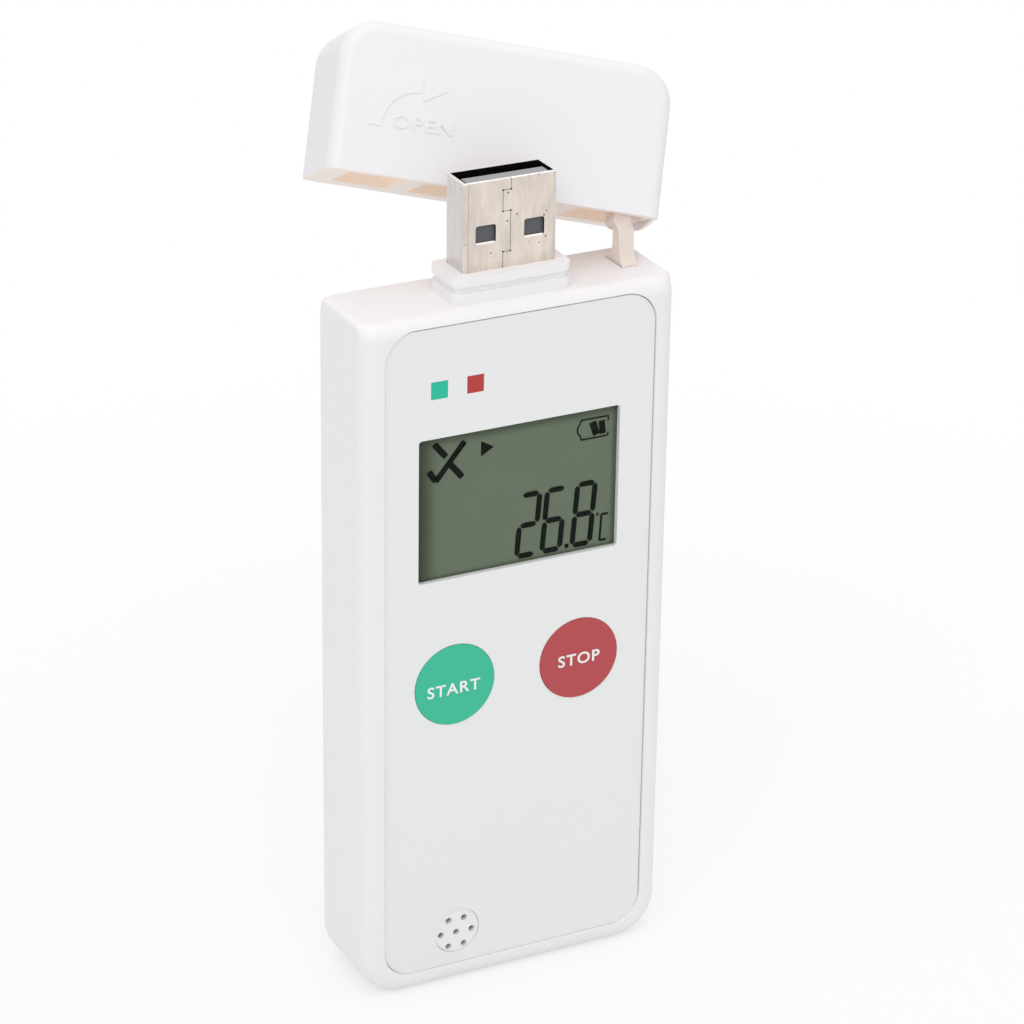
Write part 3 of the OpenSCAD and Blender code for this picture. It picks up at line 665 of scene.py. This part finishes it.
def digit(figure, foot, front):
    """One seven-segment figure that leans to the right."""
    line, gap = DIGIT_LINE, DIGIT_GAP
    left, right = line / 2, DIGIT_WIDE - line / 2
    floor, middle, top = line / 2, DIGIT_HIGH / 2, DIGIT_HIGH - line / 2
    ends = {"a": ((left + gap, top), (right - gap, top)),
            "b": ((right, middle + gap), (right, top - gap)),
            "c": ((right, floor + gap), (right, middle - gap)),
            "d": ((left + gap, floor), (right - gap, floor)),
            "e": ((left, floor + gap), (left, middle - gap)),
            "f": ((left, middle + gap), (left, top - gap)),
            "g": ((left + gap, middle), (right - gap, middle))}
    bars = []
    for a, b in (ends[s] for s in SEGMENTS[figure]):
        a, b = ((foot + x + z * LEAN_SHARE, DIGIT_LOW + z) for x, z in (a, b))
        bars.append(bar(a, b, line, front, DIGIT_POINT_SHARE))
    return bars


# Strokes of the other signs: both ends, the width and the share of it that is bevelled
STROKES = (
    # Decimal point and degree sign
    ((6.43, 56.1), (6.98, 56.1), 0.55, 0.2),
    ((10.64, 59.46), (10.98, 59.46), 0.34, 0.3),
    # Tick across a broken stroke
    ((-11.65, 69.2), (-10.75, 67.8), 0.78, 0.15),
    ((-10.78, 67.75), (-7.02, 72.25), 0.74, 0.15),
    ((-10.98, 72.55), (-9.42, 70.68), 0.78, 0.15),
    ((-8.83, 69.6), (-7.3, 67.75), 0.78, 0.15),
    # Two bars in the battery
    ((9.86, 71.62), (10.4, 69.92), 0.92, 0),
    ((11.05, 71.6), (11.25, 69.92), 0.82, 0),
)
# Thin lines: their points and their width
LINES = (
    # The letter C
    (((12.25, 59.35), (11.35, 59.35), (11.15, 55.98), (12.05, 55.98)), 0.27),
    # Outline of the battery
    (((11.95, 71.45), (11.95, 72.08), (8.3, 72.08), (8.15, 71.6), (7.84, 71.15), (7.84, 70.55),
      (8.2, 70.1), (8.35, 69.56), (11.92, 69.56), (11.95, 70.0)), 0.19),
)
# Triangle that points right: its middle and radius
TRIANGLE_AT, TRIANGLE_R = (-4.33, 70.87), 1.12
# Corners and edge of the window
PANE_CORNER, PANE_EDGE = 0.35, 0.06
# Corners and edge of the display cell, and how far it reaches past its CAD glass
CELL_CORNER, CELL_EDGE, CELL_PAST = 0.3, 0.04, Vector((0.17, 0, 0.17))


class LOGGER_OT_display(bpy.types.Operator):
    """Clear window, display ground and the signs that it shows"""
    bl_idname = "logger.display"
    bl_label = "Display"

    def execute(self, context):
        low, high = box_mm("lcd_window")
        window = plate("display_window", low, high, PANE_CORNER, PANE_CORNER, 4)
        carry(soften(window, PANE_EDGE), "case", "clear_window", finish("clear_window"), "lcd_window")
        low, high = box_mm("lcd_glass")
        ground = plate("display_cell", low - CELL_PAST, high + CELL_PAST, CELL_CORNER, CELL_CORNER, 4)
        paint = display_ground("display_ground", colours().display[:], low, high)
        carry(soften(ground, CELL_EDGE), "case", "display", paint, "lcd_glass")
        front = low.y - SIGN_BEFORE
        signs = []
        figures = [c for c in sizes().reading if c in SEGMENTS]
        for figure, foot in zip(figures, DIGIT_FEET):
            signs += digit(figure, foot, front)
        for start, end, width, point_share in STROKES:
            signs.append(bar(start, end, width, front, point_share))
        for points, width in LINES:
            signs += [bar(a, b, width, front) for a, b in zip(points, points[1:])]
        signs.append(wedge("triangle", *TRIANGLE_AT, front, front + SIGN_THICK, TRIANGLE_R))
        carry(join(signs, "display_signs"), "case", "display", finish("display_dark"))
        return {"FINISHED"}


# Each key: node, body, slot, finish, word, the word's middle and its width
KEYS = (("start_button", "start", "start_green", "green_print", "START", (-8.51, 40.62), 7.0),
        ("stop_button", "stop", "stop_red", "red_print", "STOP", (8.38, 41.02), 5.65))
# A key's head and flange: radius and thickness, then the radius of the stem behind them
HEAD_R, HEAD_THICK, FLANGE_R, FLANGE_THICK, STEM_R = 5.25, 2.6, 6, 0.7, 1.2
# Width of the head's rim, depth of its dished face, and its edge
DISH_RIM, DISH_DEEP, KEY_EDGE = 0.45, 0.03, 0.08
# The word: its thickness, and how far its middle lies behind the key's front
WORD_THICK, WORD_BEHIND = 0.04, 0.012


class LOGGER_OT_keys(bpy.types.Operator):
    """START and STOP keys with their words"""
    bl_idname = "logger.keys"
    bl_label = "Keys"

    def execute(self, context):
        for node, body, slot, print_name, text, (word_x, word_z), wide in KEYS:
            low, high = box_mm(node)
            x, z = front_middle(node)
            back = low.y + HEAD_THICK
            key = disc(node + "_key", x, z, low.y, back, HEAD_R)
            # Flange and stem grow from the back
            pick(key, "face", lambda c, n: n.y > 0.9)
            bpy.ops.mesh.extrude_region_move(TRANSFORM_OT_translate={"value": (0, 0, 0)})
            bpy.ops.transform.resize(value=(FLANGE_R / HEAD_R, 1, FLANGE_R / HEAD_R),
                                     center_override=Vector((x, back, z)) * MM)
            bpy.ops.mesh.extrude_region_move(TRANSFORM_OT_translate={"value": (0, FLANGE_THICK * MM, 0)})
            bpy.ops.mesh.inset(thickness=(FLANGE_R - STEM_R) * MM)
            bpy.ops.mesh.extrude_region_move(
                TRANSFORM_OT_translate={"value": (0, (high.y - back - FLANGE_THICK) * MM, 0)})
            done()
            # Soft rim and a face that is very slightly dished
            pick(key, "face", lambda c, n: n.y < -0.9)
            bpy.ops.mesh.inset(thickness=DISH_RIM * MM)
            bpy.ops.transform.translate(value=(0, DISH_DEEP * MM, 0))
            done()
            carry(soften(key, KEY_EDGE, 3, 20), body, slot, finish(print_name), node)
            letters = word(node + "_word", text, (word_x, low.y + WORD_BEHIND, word_z),
                           sizes().word_height / MM, WORD_THICK, wide)
            carry(letters, body, slot, finish("white_ink"))
        return {"FINISHED"}


# Light guides: upright corners, width of the raised rim, how far the middle is sunk, and edge
GUIDE_CORNER, GUIDE_RIM, GUIDE_SUNK, GUIDE_EDGE = 0.12, 0.1, 0.04, 0.03


class LOGGER_OT_lights(bpy.types.Operator):
    """Square light guides with a thin raised rim"""
    bl_idname = "logger.lights"
    bl_label = "Lights"

    def execute(self, context):
        for node, slot, name in (("green_light", "start_green", "green_guide"),
                                 ("red_light", "stop_red", "red_guide")):
            low, high = box_mm(node)
            guide = post(node + "_guide", low, high, GUIDE_CORNER, 2)
            pick(guide, "face", lambda c, n: n.y < -0.9)
            bpy.ops.mesh.inset(thickness=GUIDE_RIM * MM)
            bpy.ops.transform.translate(value=(0, GUIDE_SUNK * MM, 0))
            done()
            carry(soften(guide, GUIDE_EDGE), "case", slot, finish(name), node)
        return {"FINISHED"}


# Radius of the grille's holes and of their ring, and how far the ring lies below the middle
GRILLE_HOLE, GRILLE_RING, GRILLE_DROP = 0.42, 2.1, 0.35
# The grille's edge, and how far a hole's tool reaches past the plate
GRILLE_EDGE, HOLE_PAST = 0.07, 1


class LOGGER_OT_grille(bpy.types.Operator):
    """Sensor grille with one hole in the middle and six round it"""
    bl_idname = "logger.grille"
    bl_label = "Sensor grille"

    def execute(self, context):
        low, high = box_mm("sensor_grille")
        x, z = front_middle("sensor_grille")
        grille = disc("grille_plate", x, z, low.y, high.y, (high.x - low.x) / 2)
        z -= GRILLE_DROP
        places = [(x, z)]
        for i in range(6):
            turn = math.radians(60 * i)
            places.append((x + GRILLE_RING * math.cos(turn), z + GRILLE_RING * math.sin(turn)))
        for hole_x, hole_z in places:
            combine(grille, disc("hole_tool", hole_x, hole_z, low.y - HOLE_PAST, high.y + HOLE_PAST,
                                 GRILLE_HOLE, 32))
        carry(soften(grille, GRILLE_EDGE), "case", "grille_white", finish("grille_abs"), "sensor_grille")
        return {"FINISHED"}


# Back of the collar above the case, how much further left it reaches than its node, and its corners
COLLAR_BACK, COLLAR_LEFT, COLLAR_CORNER = 2.55, 0.3, 1.2
# Thickness of the flange, how far below its top the groove ends, and the groove's depth
FLANGE_HIGH, GROOVE_END, GROOVE_DEEP = 1.05, 1.9, 0.36
# The stem that goes through the case: how far it stands in, its corners and how far it reaches up
STEM_IN, STEM_CORNER, STEM_UP = Vector((0.8, 0.8, 0)), 0.6, 0.4
# Corners of the hole for the plug, and the collar's edge
COLLAR_HOLE_CORNER, COLLAR_EDGE = 0.35, 0.28


class LOGGER_OT_collar(bpy.types.Operator):
    """Collar round the plug: lower step, groove and rounded flange"""
    bl_idname = "logger.collar"
    bl_label = "Collar"

    def execute(self, context):
        low, high = box_mm("usb_collar")
        top_of_case = box_mm("front_housing")[1].z
        collar = post("plug_collar", (low.x - COLLAR_LEFT, low.y, top_of_case),
                      (high.x, COLLAR_BACK, high.z), COLLAR_CORNER, 8)
        flange, step = high.z - FLANGE_HIGH, high.z - GROOVE_END
        for level in (flange, step):
            pick_all(collar)
            bpy.ops.mesh.bisect(plane_co=(0, 0, level * MM), plane_no=(0, 0, 1))
            done()
        pick(collar, "face", lambda c, n: abs(n.z) < 0.5 and step < c.z < flange)
        bpy.ops.mesh.extrude_region_shrink_fatten(TRANSFORM_OT_shrink_fatten={"value": -GROOVE_DEEP * MM})
        done()
        stem_high = (high.x - STEM_IN.x, high.y, top_of_case + STEM_UP)
        combine(collar, post("stem", low + STEM_IN, stem_high, STEM_CORNER, 6), "UNION")
        low, high = box_mm("usb_shell")
        lift = Vector((0, 0, 3))
        combine(collar, post("plug_tool", low - lift, high + lift, COLLAR_HOLE_CORNER, 4))
        carry(soften(collar, COLLAR_EDGE, 4, 50), "case", "collar_white", finish("collar_abs"),
              "usb_collar")
        return {"FINISHED"}


# Thickness of the sheet that the shell is folded from, and the shell's outer and inner corners
SHEET, SHELL_CORNER, BORE_CORNER = 0.3, 0.2, 0.1
# Each window's inner side, outer side, sill and head, and its lower and upper corners
WINDOW_IN, WINDOW_OUT, SILL, WINDOW_HEAD = 1.83, 4.43, 95.25, 97.35
LOWER_CORNER, UPPER_CORNER = 0.12, 0.3
# The bar that cuts the sloping sill: how far its ends stand in, and half its side
SILL_IN, SILL_HALF = 0.08, 0.13
# Corners of the dovetail seam down the front, the cut's depth, and the relief hole at each corner
SEAM = ((0.09, 103.2), (0.09, 101.3), (-0.95, 101.3), (-0.95, 98.72), (0.06, 98.72), (0.06, 93.77),
        (-0.89, 93.77), (-0.89, 91.0))
SEAM_DEEP, RELIEF_R, RELIEF_PAST = 0.12, 0.12, 0.05
# Lines along which the sheet is folded: distance from the left and the right side, half width and depth
FOLD_LEFT, FOLD_RIGHT, FOLD_HALF, FOLD_DEEP = 0.62, 0.36, 0.035, 0.05
# How far a tool stands before the shell, the rim's bevel and how near the outside it lies, and the edge
TOOL_BEFORE, RIM_BEVEL, RIM_NEAR, SHELL_EDGE = 0.2, 0.1, 0.25, 0.04
# The tongue's edge and the contacts' edge
TONGUE_EDGE, CONTACT_EDGE = 0.12, 0.03


class LOGGER_OT_plug(bpy.types.Operator):
    """Plug: folded shell with windows and seam, tongue and contacts"""
    bl_idname = "logger.plug"
    bl_label = "Plug"

    def execute(self, context):
        low, high = box_mm("usb_shell")
        shell = post("plug_shell", low, high, SHELL_CORNER, 3)
        wall, lift = Vector((SHEET, SHEET, 0)), Vector((0, 0, 2))
        combine(shell, post("inside_tool", low + wall - lift, high - wall + lift, BORE_CORNER, 2))
        for side in (-1, 1):
            x0, x1 = sorted((side * WINDOW_IN, side * WINDOW_OUT))
            combine(shell, plate("window_tool", (x0, low.y - PAST.y, SILL),
                                 (x1, high.y + PAST.y, WINDOW_HEAD), LOWER_CORNER, UPPER_CORNER, 4))
            # A square bar on its edge cuts the sloping sill
            sill = block("sill_tool", (x0 + SILL_IN, low.y - SILL_HALF, SILL - SILL_HALF),
                         (x1 - SILL_IN, low.y + SILL_HALF, SILL + SILL_HALF))
            pick_all(sill)
            bpy.ops.transform.rotate(value=math.pi / 4, orient_axis="X",
                                     center_override=Vector((0, low.y, SILL)) * MM)
            done()
            combine(shell, sill)
        round_off(shell, RIM_BEVEL, 1, lambda a, b: min(a.z, b.z) > high.z - NEAR and all(
            p.y < low.y + RIM_NEAR or p.y > high.y - RIM_NEAR or abs(p.x) > high.x - RIM_NEAR
            for p in (a, b)))
        front = low.y - TOOL_BEFORE
        for x in (low.x + FOLD_LEFT, high.x - FOLD_RIGHT):
            combine(shell, block("fold_tool", (x - FOLD_HALF, front, low.z - 1),
                                 (x + FOLD_HALF, low.y + FOLD_DEEP, high.z + 1)))
        half = sizes().seam / MM / 2
        for (x0, z0), (x1, z1) in zip(SEAM, SEAM[1:]):
            combine(shell, block("seam_tool", (min(x0, x1) - half, front, min(z0, z1) - half),
                                 (max(x0, x1) + half, low.y + SEAM_DEEP, max(z0, z1) + half)))
        for x, z in SEAM[1:-1]:
            combine(shell, disc("relief_tool", x, z, front, low.y + SHEET + RELIEF_PAST, RELIEF_R, 16))
        soften(shell, SHELL_EDGE, 2, 25)
        self.paint_shell(shell, low, high, wall)
        carry(shell, "case", "plug_metal", None, "usb_shell")
        tongue = cad_copy("usb_tongue", "plug_tongue", TONGUE_EDGE)
        coat(tongue, "tongue_plastic", "tongue_end")
        # Upward faces at the tongue's upper end get the paler painted highlight
        for f in tongue.data.polygons:
            f.material_index = 1 if f.normal.z > 0.5 and f.center.z > (high.z - 1) * MM else 0
        carry(tongue, "case", "tongue_grey", None, "usb_tongue")
        carry(cad_copy("usb_contacts", "plug_contacts", CONTACT_EDGE), "case", "contact_gold",
              finish("gold_plate"), "usb_contacts")
        return {"FINISHED"}

    def paint_shell(self, shell, low, high, wall):
        """Plating outside, with a painted highlight on faces that turn upward, a cooler painted reflection
        on the narrow sides, and painted shade inside the shell and in its windows, seam and relief holes.
        """
        coat(shell, "nickel_plate", "nickel_side", "nickel_cut", "nickel_dark")
        plate_at, side_at, highlight_at, shade_at = range(4)
        inner_low, inner_high = low + wall * 0.9, high - wall * 0.9
        skin = 0.03
        for f in shell.data.polygons:
            c, n = f.center / MM, f.normal
            within = inner_low.x < c.x < inner_high.x and inner_low.y < c.y < inner_high.y
            pierced = low.y + skin < c.y < inner_low.y or inner_high.y < c.y < high.y - skin
            # Upward faces get the painted highlight, faces inside the shell and in its openings the
            # painted shade, and the narrow sides the cooler painted reflection
            if n.z > 0.5:
                f.material_index = highlight_at
            elif within or (pierced and abs(c.x) < WINDOW_OUT + 0.1):
                f.material_index = shade_at
            else:
                f.material_index = side_at if abs(n.x) > 0.9 else plate_at


# Edges of the strap's foot, neck and pin, and how much the neck's lower end spreads and moves
FOOT_EDGE, NECK_EDGE, PIN_EDGE = 0.15, 0.08, 0.06
NECK_SPREAD, NECK_MOVE = (1.1, 1.08, 1), Vector((-0.1, 0, -0.06))


class LOGGER_OT_strap(bpy.types.Operator):
    """Strap: foot in its slot, waisted neck and the pin that it turns on"""
    bl_idname = "logger.strap"
    bl_label = "Strap"

    def execute(self, context):
        carry(cad_copy("strap_foot", "strap_root", FOOT_EDGE), "strap", "cap_white",
              finish("strap_elastomer"), "strap_foot")
        neck = cad_copy("strap_neck", "strap_band", 0)
        low, high = box_mm("strap_foot")
        pick(neck, "face", lambda c, n: n.z < -0.9 and c.z < high.z)
        bpy.ops.transform.resize(value=NECK_SPREAD, center_override=(low + high) / 2 * MM)
        bpy.ops.transform.translate(value=NECK_MOVE * MM)
        done()
        carry(soften(neck, NECK_EDGE), "neck", "cap_white", finish("strap_elastomer"), "strap_neck")
        carry(cad_copy("hinge_pin", "strap_pin", PIN_EDGE), "cap", "steel", finish("bright_steel"),
              "hinge_pin")
        return {"FINISHED"}


# The cap: width, depth, height, radii of its upper corners and of its long edges, walls, and small edge
CAP_WIDE, CAP_DEEP, CAP_HIGH, CAP_CORNER, CAP_EDGE, CAP_WALL = 40.8, 13.5, 17.9, 4.5, 1.6, 1.5
CAP_SOFT = 0.15
# The pin's middle in the cap's frame, and the turns of that frame in degrees
CAP_PIN = Vector((16.1, 3.4, -0.5))
CAP_TURNS = ((-8.5, "Z"), (-25, "X"), (14, "Y"))
# Left and right side of each bay, and the bays' back
BAYS = ((-17.4, -10.55), (-8.15, 8.15), (10.55, 18.9))
BAY_BACK = 10.3
# The ear behind the knuckle: radius, near and far side, and the arm's lower, upper and right edge
EAR_R, EAR_NEAR, EAR_FAR, ARM_LOW, ARM_TOP, ARM_RIGHT = 0.95, 3.75, 5.25, -0.05, 1.5, 19.65
EAR_EDGE = 0.08
# The hanging arc of the right wall: radius, how far it hangs below the rim and stands up into the cap,
# thickness, and radius of its outer edge
ARC_R, ARC_LOW, ARC_TOP, ARC_THICK, ARC_EDGE = 17, 0.84, 0.05, 0.75, 0.5
# Both corners of the web beside the knuckle
WEB = ((17.6, 0.75, 0.5), (19.65, 5.25, 1.35))
# The arrow's band: left and right side, foot, and the middle of its bend
BAND_LEFT, BAND_RIGHT, BAND_FOOT, BEND_X, BEND_Z = -16.3, -14.7, 5.62, -10.25, 5.66
# The middle and radius of the arrow's head, and the arrow's edge
TIP_X, TIP_Z, TIP_R, ARROW_EDGE = -9.1, 10.8, 1.95, 0.04
# How deep the arrow and the word go into the wall, and the word's middle, height and width
ARROW_IN, OPEN_IN, OPEN_X, OPEN_Z, OPEN_HIGH, OPEN_WIDE = 0.3, 0.1, -9.78, 6.48, 1.6, 7.2


def put_on_cap(obj):
    """Moves a piece from the cap's frame (x along it, y front to back, z up from its rim) to its place."""
    swing = next(j for j in frame["joints"] if j["name"] == "cap_swing")
    pose = Matrix.Translation(Vector(swing["pos_m"]))
    for angle, axis in CAP_TURNS:
        pose = pose @ Matrix.Rotation(math.radians(angle), 4, axis)
    alone(obj)
    obj.matrix_world = pose @ Matrix.Translation(-CAP_PIN * MM)
    return settle(obj.name)


class LOGGER_OT_cap(bpy.types.Operator):
    """Cap with its three bays, the ear of its hinge and the raised sign for opening it"""
    bl_idname = "logger.cap"
    bl_label = "Cap"

    def execute(self, context):
        self.make_cover()
        ear = disc("cap_ear", CAP_PIN.x, CAP_PIN.z, EAR_NEAR, EAR_FAR, EAR_R, 32)
        arm = block("ear_arm", (CAP_PIN.x - EAR_R, EAR_NEAR, ARM_LOW), (ARM_RIGHT, EAR_FAR, ARM_TOP))
        combine(ear, arm, "UNION")
        carry(put_on_cap(soften(ear, EAR_EDGE)), "cap", "cap_white", finish("strap_elastomer"))
        self.make_sign()
        return {"FINISHED"}

    def make_cover(self):
        """The cap's shell: rounded outside, bays, hanging arc and web."""
        half, top = CAP_WIDE / 2, CAP_HIGH - CAP_WALL
        cap = plate("cap_cover", (-half, 0, 0), (half, CAP_DEEP, CAP_HIGH), 0, CAP_CORNER, 16)
        for face in (0, CAP_DEEP):
            round_off(cap, CAP_EDGE, 8, lambda a, b: abs(a.y - face) < NEAR and abs(b.y - face) < NEAR
                      and max(a.z, b.z) > NEAR)
        for x0, x1 in BAYS:
            bay = block("bay_tool", (x0, CAP_WALL, -PAST.y), (x1, BAY_BACK, top))
            for side in (x0, x1):
                if side in (BAYS[0][0], BAYS[-1][1]):
                    round_off(bay, CAP_CORNER - CAP_WALL, 8,
                              lambda a, b: lies_along(a, b, 1) and a.z > 0 and abs(a.x - side) < NEAR)
            combine(cap, bay)
        alone()
        bpy.ops.mesh.primitive_cylinder_add(
            vertices=360, radius=ARC_R * MM, depth=ARC_THICK * MM, rotation=(0, math.pi / 2, 0),
            location=Vector((half - ARC_THICK / 2, CAP_DEEP / 2, ARC_R - ARC_LOW)) * MM)
        arc = settle("arc")
        round_off(arc, ARC_EDGE, 4, lambda a, b: min(a.x, b.x) > half - NEAR)
        pick_all(arc)
        bpy.ops.mesh.bisect(plane_co=(0, 0, ARC_TOP * MM), plane_no=(0, 0, 1), clear_outer=True,
                            use_fill=True)
        done()
        combine(cap, arc, "UNION")
        combine(cap, block("web", *WEB), "UNION")
        soften(cap, CAP_SOFT)
        # The bays' inside faces take a painted glow, and the rim's underside a creamier painted light,
        # both standing in for light through the thin walls
        coat(cap, "cap_abs", "cap_abs_inside", "cap_abs_rim")
        outside, inside, rim = range(3)
        skin = 0.02
        for f in cap.data.polygons:
            c = f.center / MM
            deep = CAP_WALL - skin < c.y < BAY_BACK + skin and 0.2 < c.z < top + skin
            if deep and BAYS[0][0] - skin < c.x < BAYS[-1][1] + skin:
                f.material_index = inside
            else:
                f.material_index = rim if f.normal.z < -0.9 else outside
        carry(put_on_cap(cap), "cap", "cap_white", None, "cap_shell")

    def make_sign(self):
        """Raised arrow, a band turned a quarter round with a three-sided head, and the word below it."""
        lift = sizes().raised / MM
        band = block("band", (BAND_LEFT, -lift, BAND_FOOT), (BAND_RIGHT, ARROW_IN, BEND_Z))
        pick(band, "face", lambda c, n: n.z > 0.9)
        bpy.ops.mesh.spin(steps=20, angle=-math.pi / 2, center=Vector((BEND_X, 0, BEND_Z)) * MM,
                          axis=(0, 1, 0))
        done()
        arrow = combine(band, wedge("head", TIP_X, TIP_Z, -lift, ARROW_IN, TIP_R), "UNION")
        arrow.name = arrow.data.name = "cap_arrow"
        carry(put_on_cap(soften(arrow, ARROW_EDGE)), "cap", "cap_white", finish("cap_abs"))
        letters = word("cap_word", "OPEN", (OPEN_X, (OPEN_IN - lift) / 2, OPEN_Z), OPEN_HIGH,
                       lift + OPEN_IN, OPEN_WIDE)
        carry(put_on_cap(letters), "cap", "cap_white", finish("cap_abs"))


# CAD nodes that stay as they are, with the finish that each gets
INNER = {"cover_seal": "seal_rubber", "lcd_backing": "reflector_sheet", "lcd_frame": "frame_plastic",
         "contact_strips": "strip_rubber", "circuit_board": "board_laminate",
         "board_screws": "bright_steel", "microcontroller": "chip_epoxy", "memory_chip": "chip_epoxy",
         "crystal": "bright_steel", "charge_capacitor": "can_sleeve", "battery_holder": "holder_plastic",
         "battery_cell": "bright_steel", "battery_clip": "gold_plate", "start_switch": "chip_epoxy",
         "stop_switch": "chip_epoxy", "status_leds": "white_ink", "sensor_gasket": "seal_rubber",
         "humidity_sensor": "frame_plastic"}


class LOGGER_OT_inside(bpy.types.Operator):
    """Finishes of the pieces inside the case"""
    bl_idname = "logger.inside"
    bl_label = "Inside"

    def execute(self, context):
        for name, finish_name in INNER.items():
            obj = frame["nodes"][name]
            if not obj.material_slots:
                obj.data.materials.append(None)
            for place in obj.material_slots:
                place.material = finish(finish_name)
        return {"FINISHED"}


# The photograph's camera: its place, the way it looks, and the right and down of its picture
CAMERA_AT = Vector((-192.03, -376.06, 250.79))
AHEAD = Vector((0.41821, 0.80917, -0.41272))
RIGHT, DOWN = Vector((0.89112, -0.45357, 0.0137)), Vector((-0.17611, -0.37351, -0.91075))
# Its focal length, and the side of its square sensor
LENS, SENSOR = 136.17, 36
# Lamps: name, place and size in metres, and power in watts; and the place they shine at
LAMPS = (("key_lamp", (-0.25, -0.35, 0.65), 0.5, 1.35), ("top_lamp", (0.1, 0.05, 0.7), 0.6, 0.7))
LAMP_AIM = Vector((0, 0, 0.06))
# Floor: width, and where its own white begins and is full, in metres; and the world's light on the object
FLOOR_WIDE, WHITE_FROM, WHITE_FULL, SKY = 6, 0.05, 0.2, 0.74


def seen_directly(tree):
    """1 on the rays from the camera, in reflections and through clear pieces, else 0."""
    rays = add(tree, "ShaderNodeLightPath")
    seen = add(tree, "ShaderNodeMath", {0: rays[0], 1: rays[3]}, operation="MAXIMUM")[0]
    return add(tree, "ShaderNodeMath", {0: seen, 1: rays[6]}, operation="MAXIMUM")[0]


class LOGGER_OT_stage(bpy.types.Operator):
    """Pale floor, soft lamps and the camera"""
    bl_idname = "logger.stage"
    bl_label = "Stage"

    def execute(self, context):
        self.make_floor()
        self.make_sky(context)
        for name, spot, size, power in LAMPS:
            alone()
            bpy.ops.object.light_add(type="AREA", location=spot)
            lamp = context.object
            lamp.name = name
            lamp.data.shape, lamp.data.size, lamp.data.energy = "SQUARE", size, power
            lamp.rotation_euler = (LAMP_AIM - Vector(spot)).to_track_quat("-Z", "Y").to_euler()
        alone()
        bpy.ops.object.camera_add()
        camera = context.object
        camera.name = "photo_camera"
        turn = Matrix((RIGHT, -DOWN, -AHEAD)).transposed().to_4x4()
        camera.matrix_world = Matrix.Translation(CAMERA_AT * MM) @ turn
        camera.data.sensor_width = camera.data.sensor_height = SENSOR
        camera.data.lens = LENS
        camera.data.clip_start, camera.data.clip_end = 0.01, 20
        context.scene.camera = camera
        context.scene.view_settings.view_transform = "Standard"
        return {"FINISHED"}

    def make_floor(self):
        """A matt floor that keeps the object's shadow and turns white further away."""
        alone()
        bpy.ops.mesh.primitive_plane_add(size=FLOOR_WIDE, location=(0, 0, 0))
        floor = settle("floor")
        material, tree, surface = shader("pale_floor", (0.93, 0.93, 0.93, 1), Roughness=0.9)
        place = add(tree, "ShaderNodeTexCoord")[3]
        away = add(tree, "ShaderNodeVectorMath", {0: place}, operation="LENGTH")[0]
        far = add(tree, "ShaderNodeMapRange", {"Value": away}, interpolation_type="SMOOTHSTEP",
                  From_Min=WHITE_FROM, From_Max=WHITE_FULL, To_Min=0.6)[0]
        share = add(tree, "ShaderNodeMath", {0: seen_directly(tree), 1: far}, operation="MULTIPLY")[0]
        white = add(tree, "ShaderNodeEmission", Color=(1, 1, 1, 1), Strength=1.0)[0]
        both = add(tree, "ShaderNodeMixShader", {0: share, 1: surface.outputs[0], 2: white})[0]
        tree.links.new(both, tree.nodes["Material Output"].inputs["Surface"])
        floor.data.materials.append(material)

    def make_sky(self, context):
        """A white world, a little dimmer as light on the object than as its background."""
        world = bpy.data.worlds.new("studio")
        context.scene.world = world
        world.use_nodes = True
        tree = world.node_tree
        strength = add(tree, "ShaderNodeMapRange", {"Value": seen_directly(tree)}, To_Min=SKY,
                       To_Max=1.0)[0]
        background = tree.nodes["Background"]
        background.inputs["Color"].default_value = (1, 1, 1, 1)
        tree.links.new(strength, background.inputs["Strength"])


STEPS = (LOGGER_OT_case, LOGGER_OT_face, LOGGER_OT_display, LOGGER_OT_keys, LOGGER_OT_lights,
         LOGGER_OT_grille, LOGGER_OT_collar, LOGGER_OT_plug, LOGGER_OT_strap, LOGGER_OT_cap,
         LOGGER_OT_inside, LOGGER_OT_stage)


class LOGGER_PT_panel(bpy.types.Panel):
    """Sizes, colours and the steps that build the data logger"""
    bl_label = "Data logger"
    bl_idname = "LOGGER_PT_panel"
    bl_space_type = "VIEW_3D"
    bl_region_type = "UI"
    bl_category = "Logger"

    def draw(self, context):
        for group in (context.scene.logger_colours, context.scene.logger_sizes):
            for name in group.__annotations__:
                self.layout.prop(group, name)
        for step in STEPS:
            self.layout.operator(step.bl_idname)


CLASSES = (LoggerColours, LoggerSizes) + STEPS + (LOGGER_PT_panel,)


def register():
    for c in CLASSES:
        bpy.utils.register_class(c)
    bpy.types.Scene.logger_colours = PointerProperty(type=LoggerColours)
    bpy.types.Scene.logger_sizes = PointerProperty(type=LoggerSizes)


def unregister():
    del bpy.types.Scene.logger_sizes
    del bpy.types.Scene.logger_colours
    for c in reversed(CLASSES):
        bpy.utils.unregister_class(c)


def main():
    register()
    for step in STEPS:
        group, name = step.bl_idname.split(".")
        getattr(getattr(bpy.ops, group), name)()


if __name__ == "__main__":
    main()
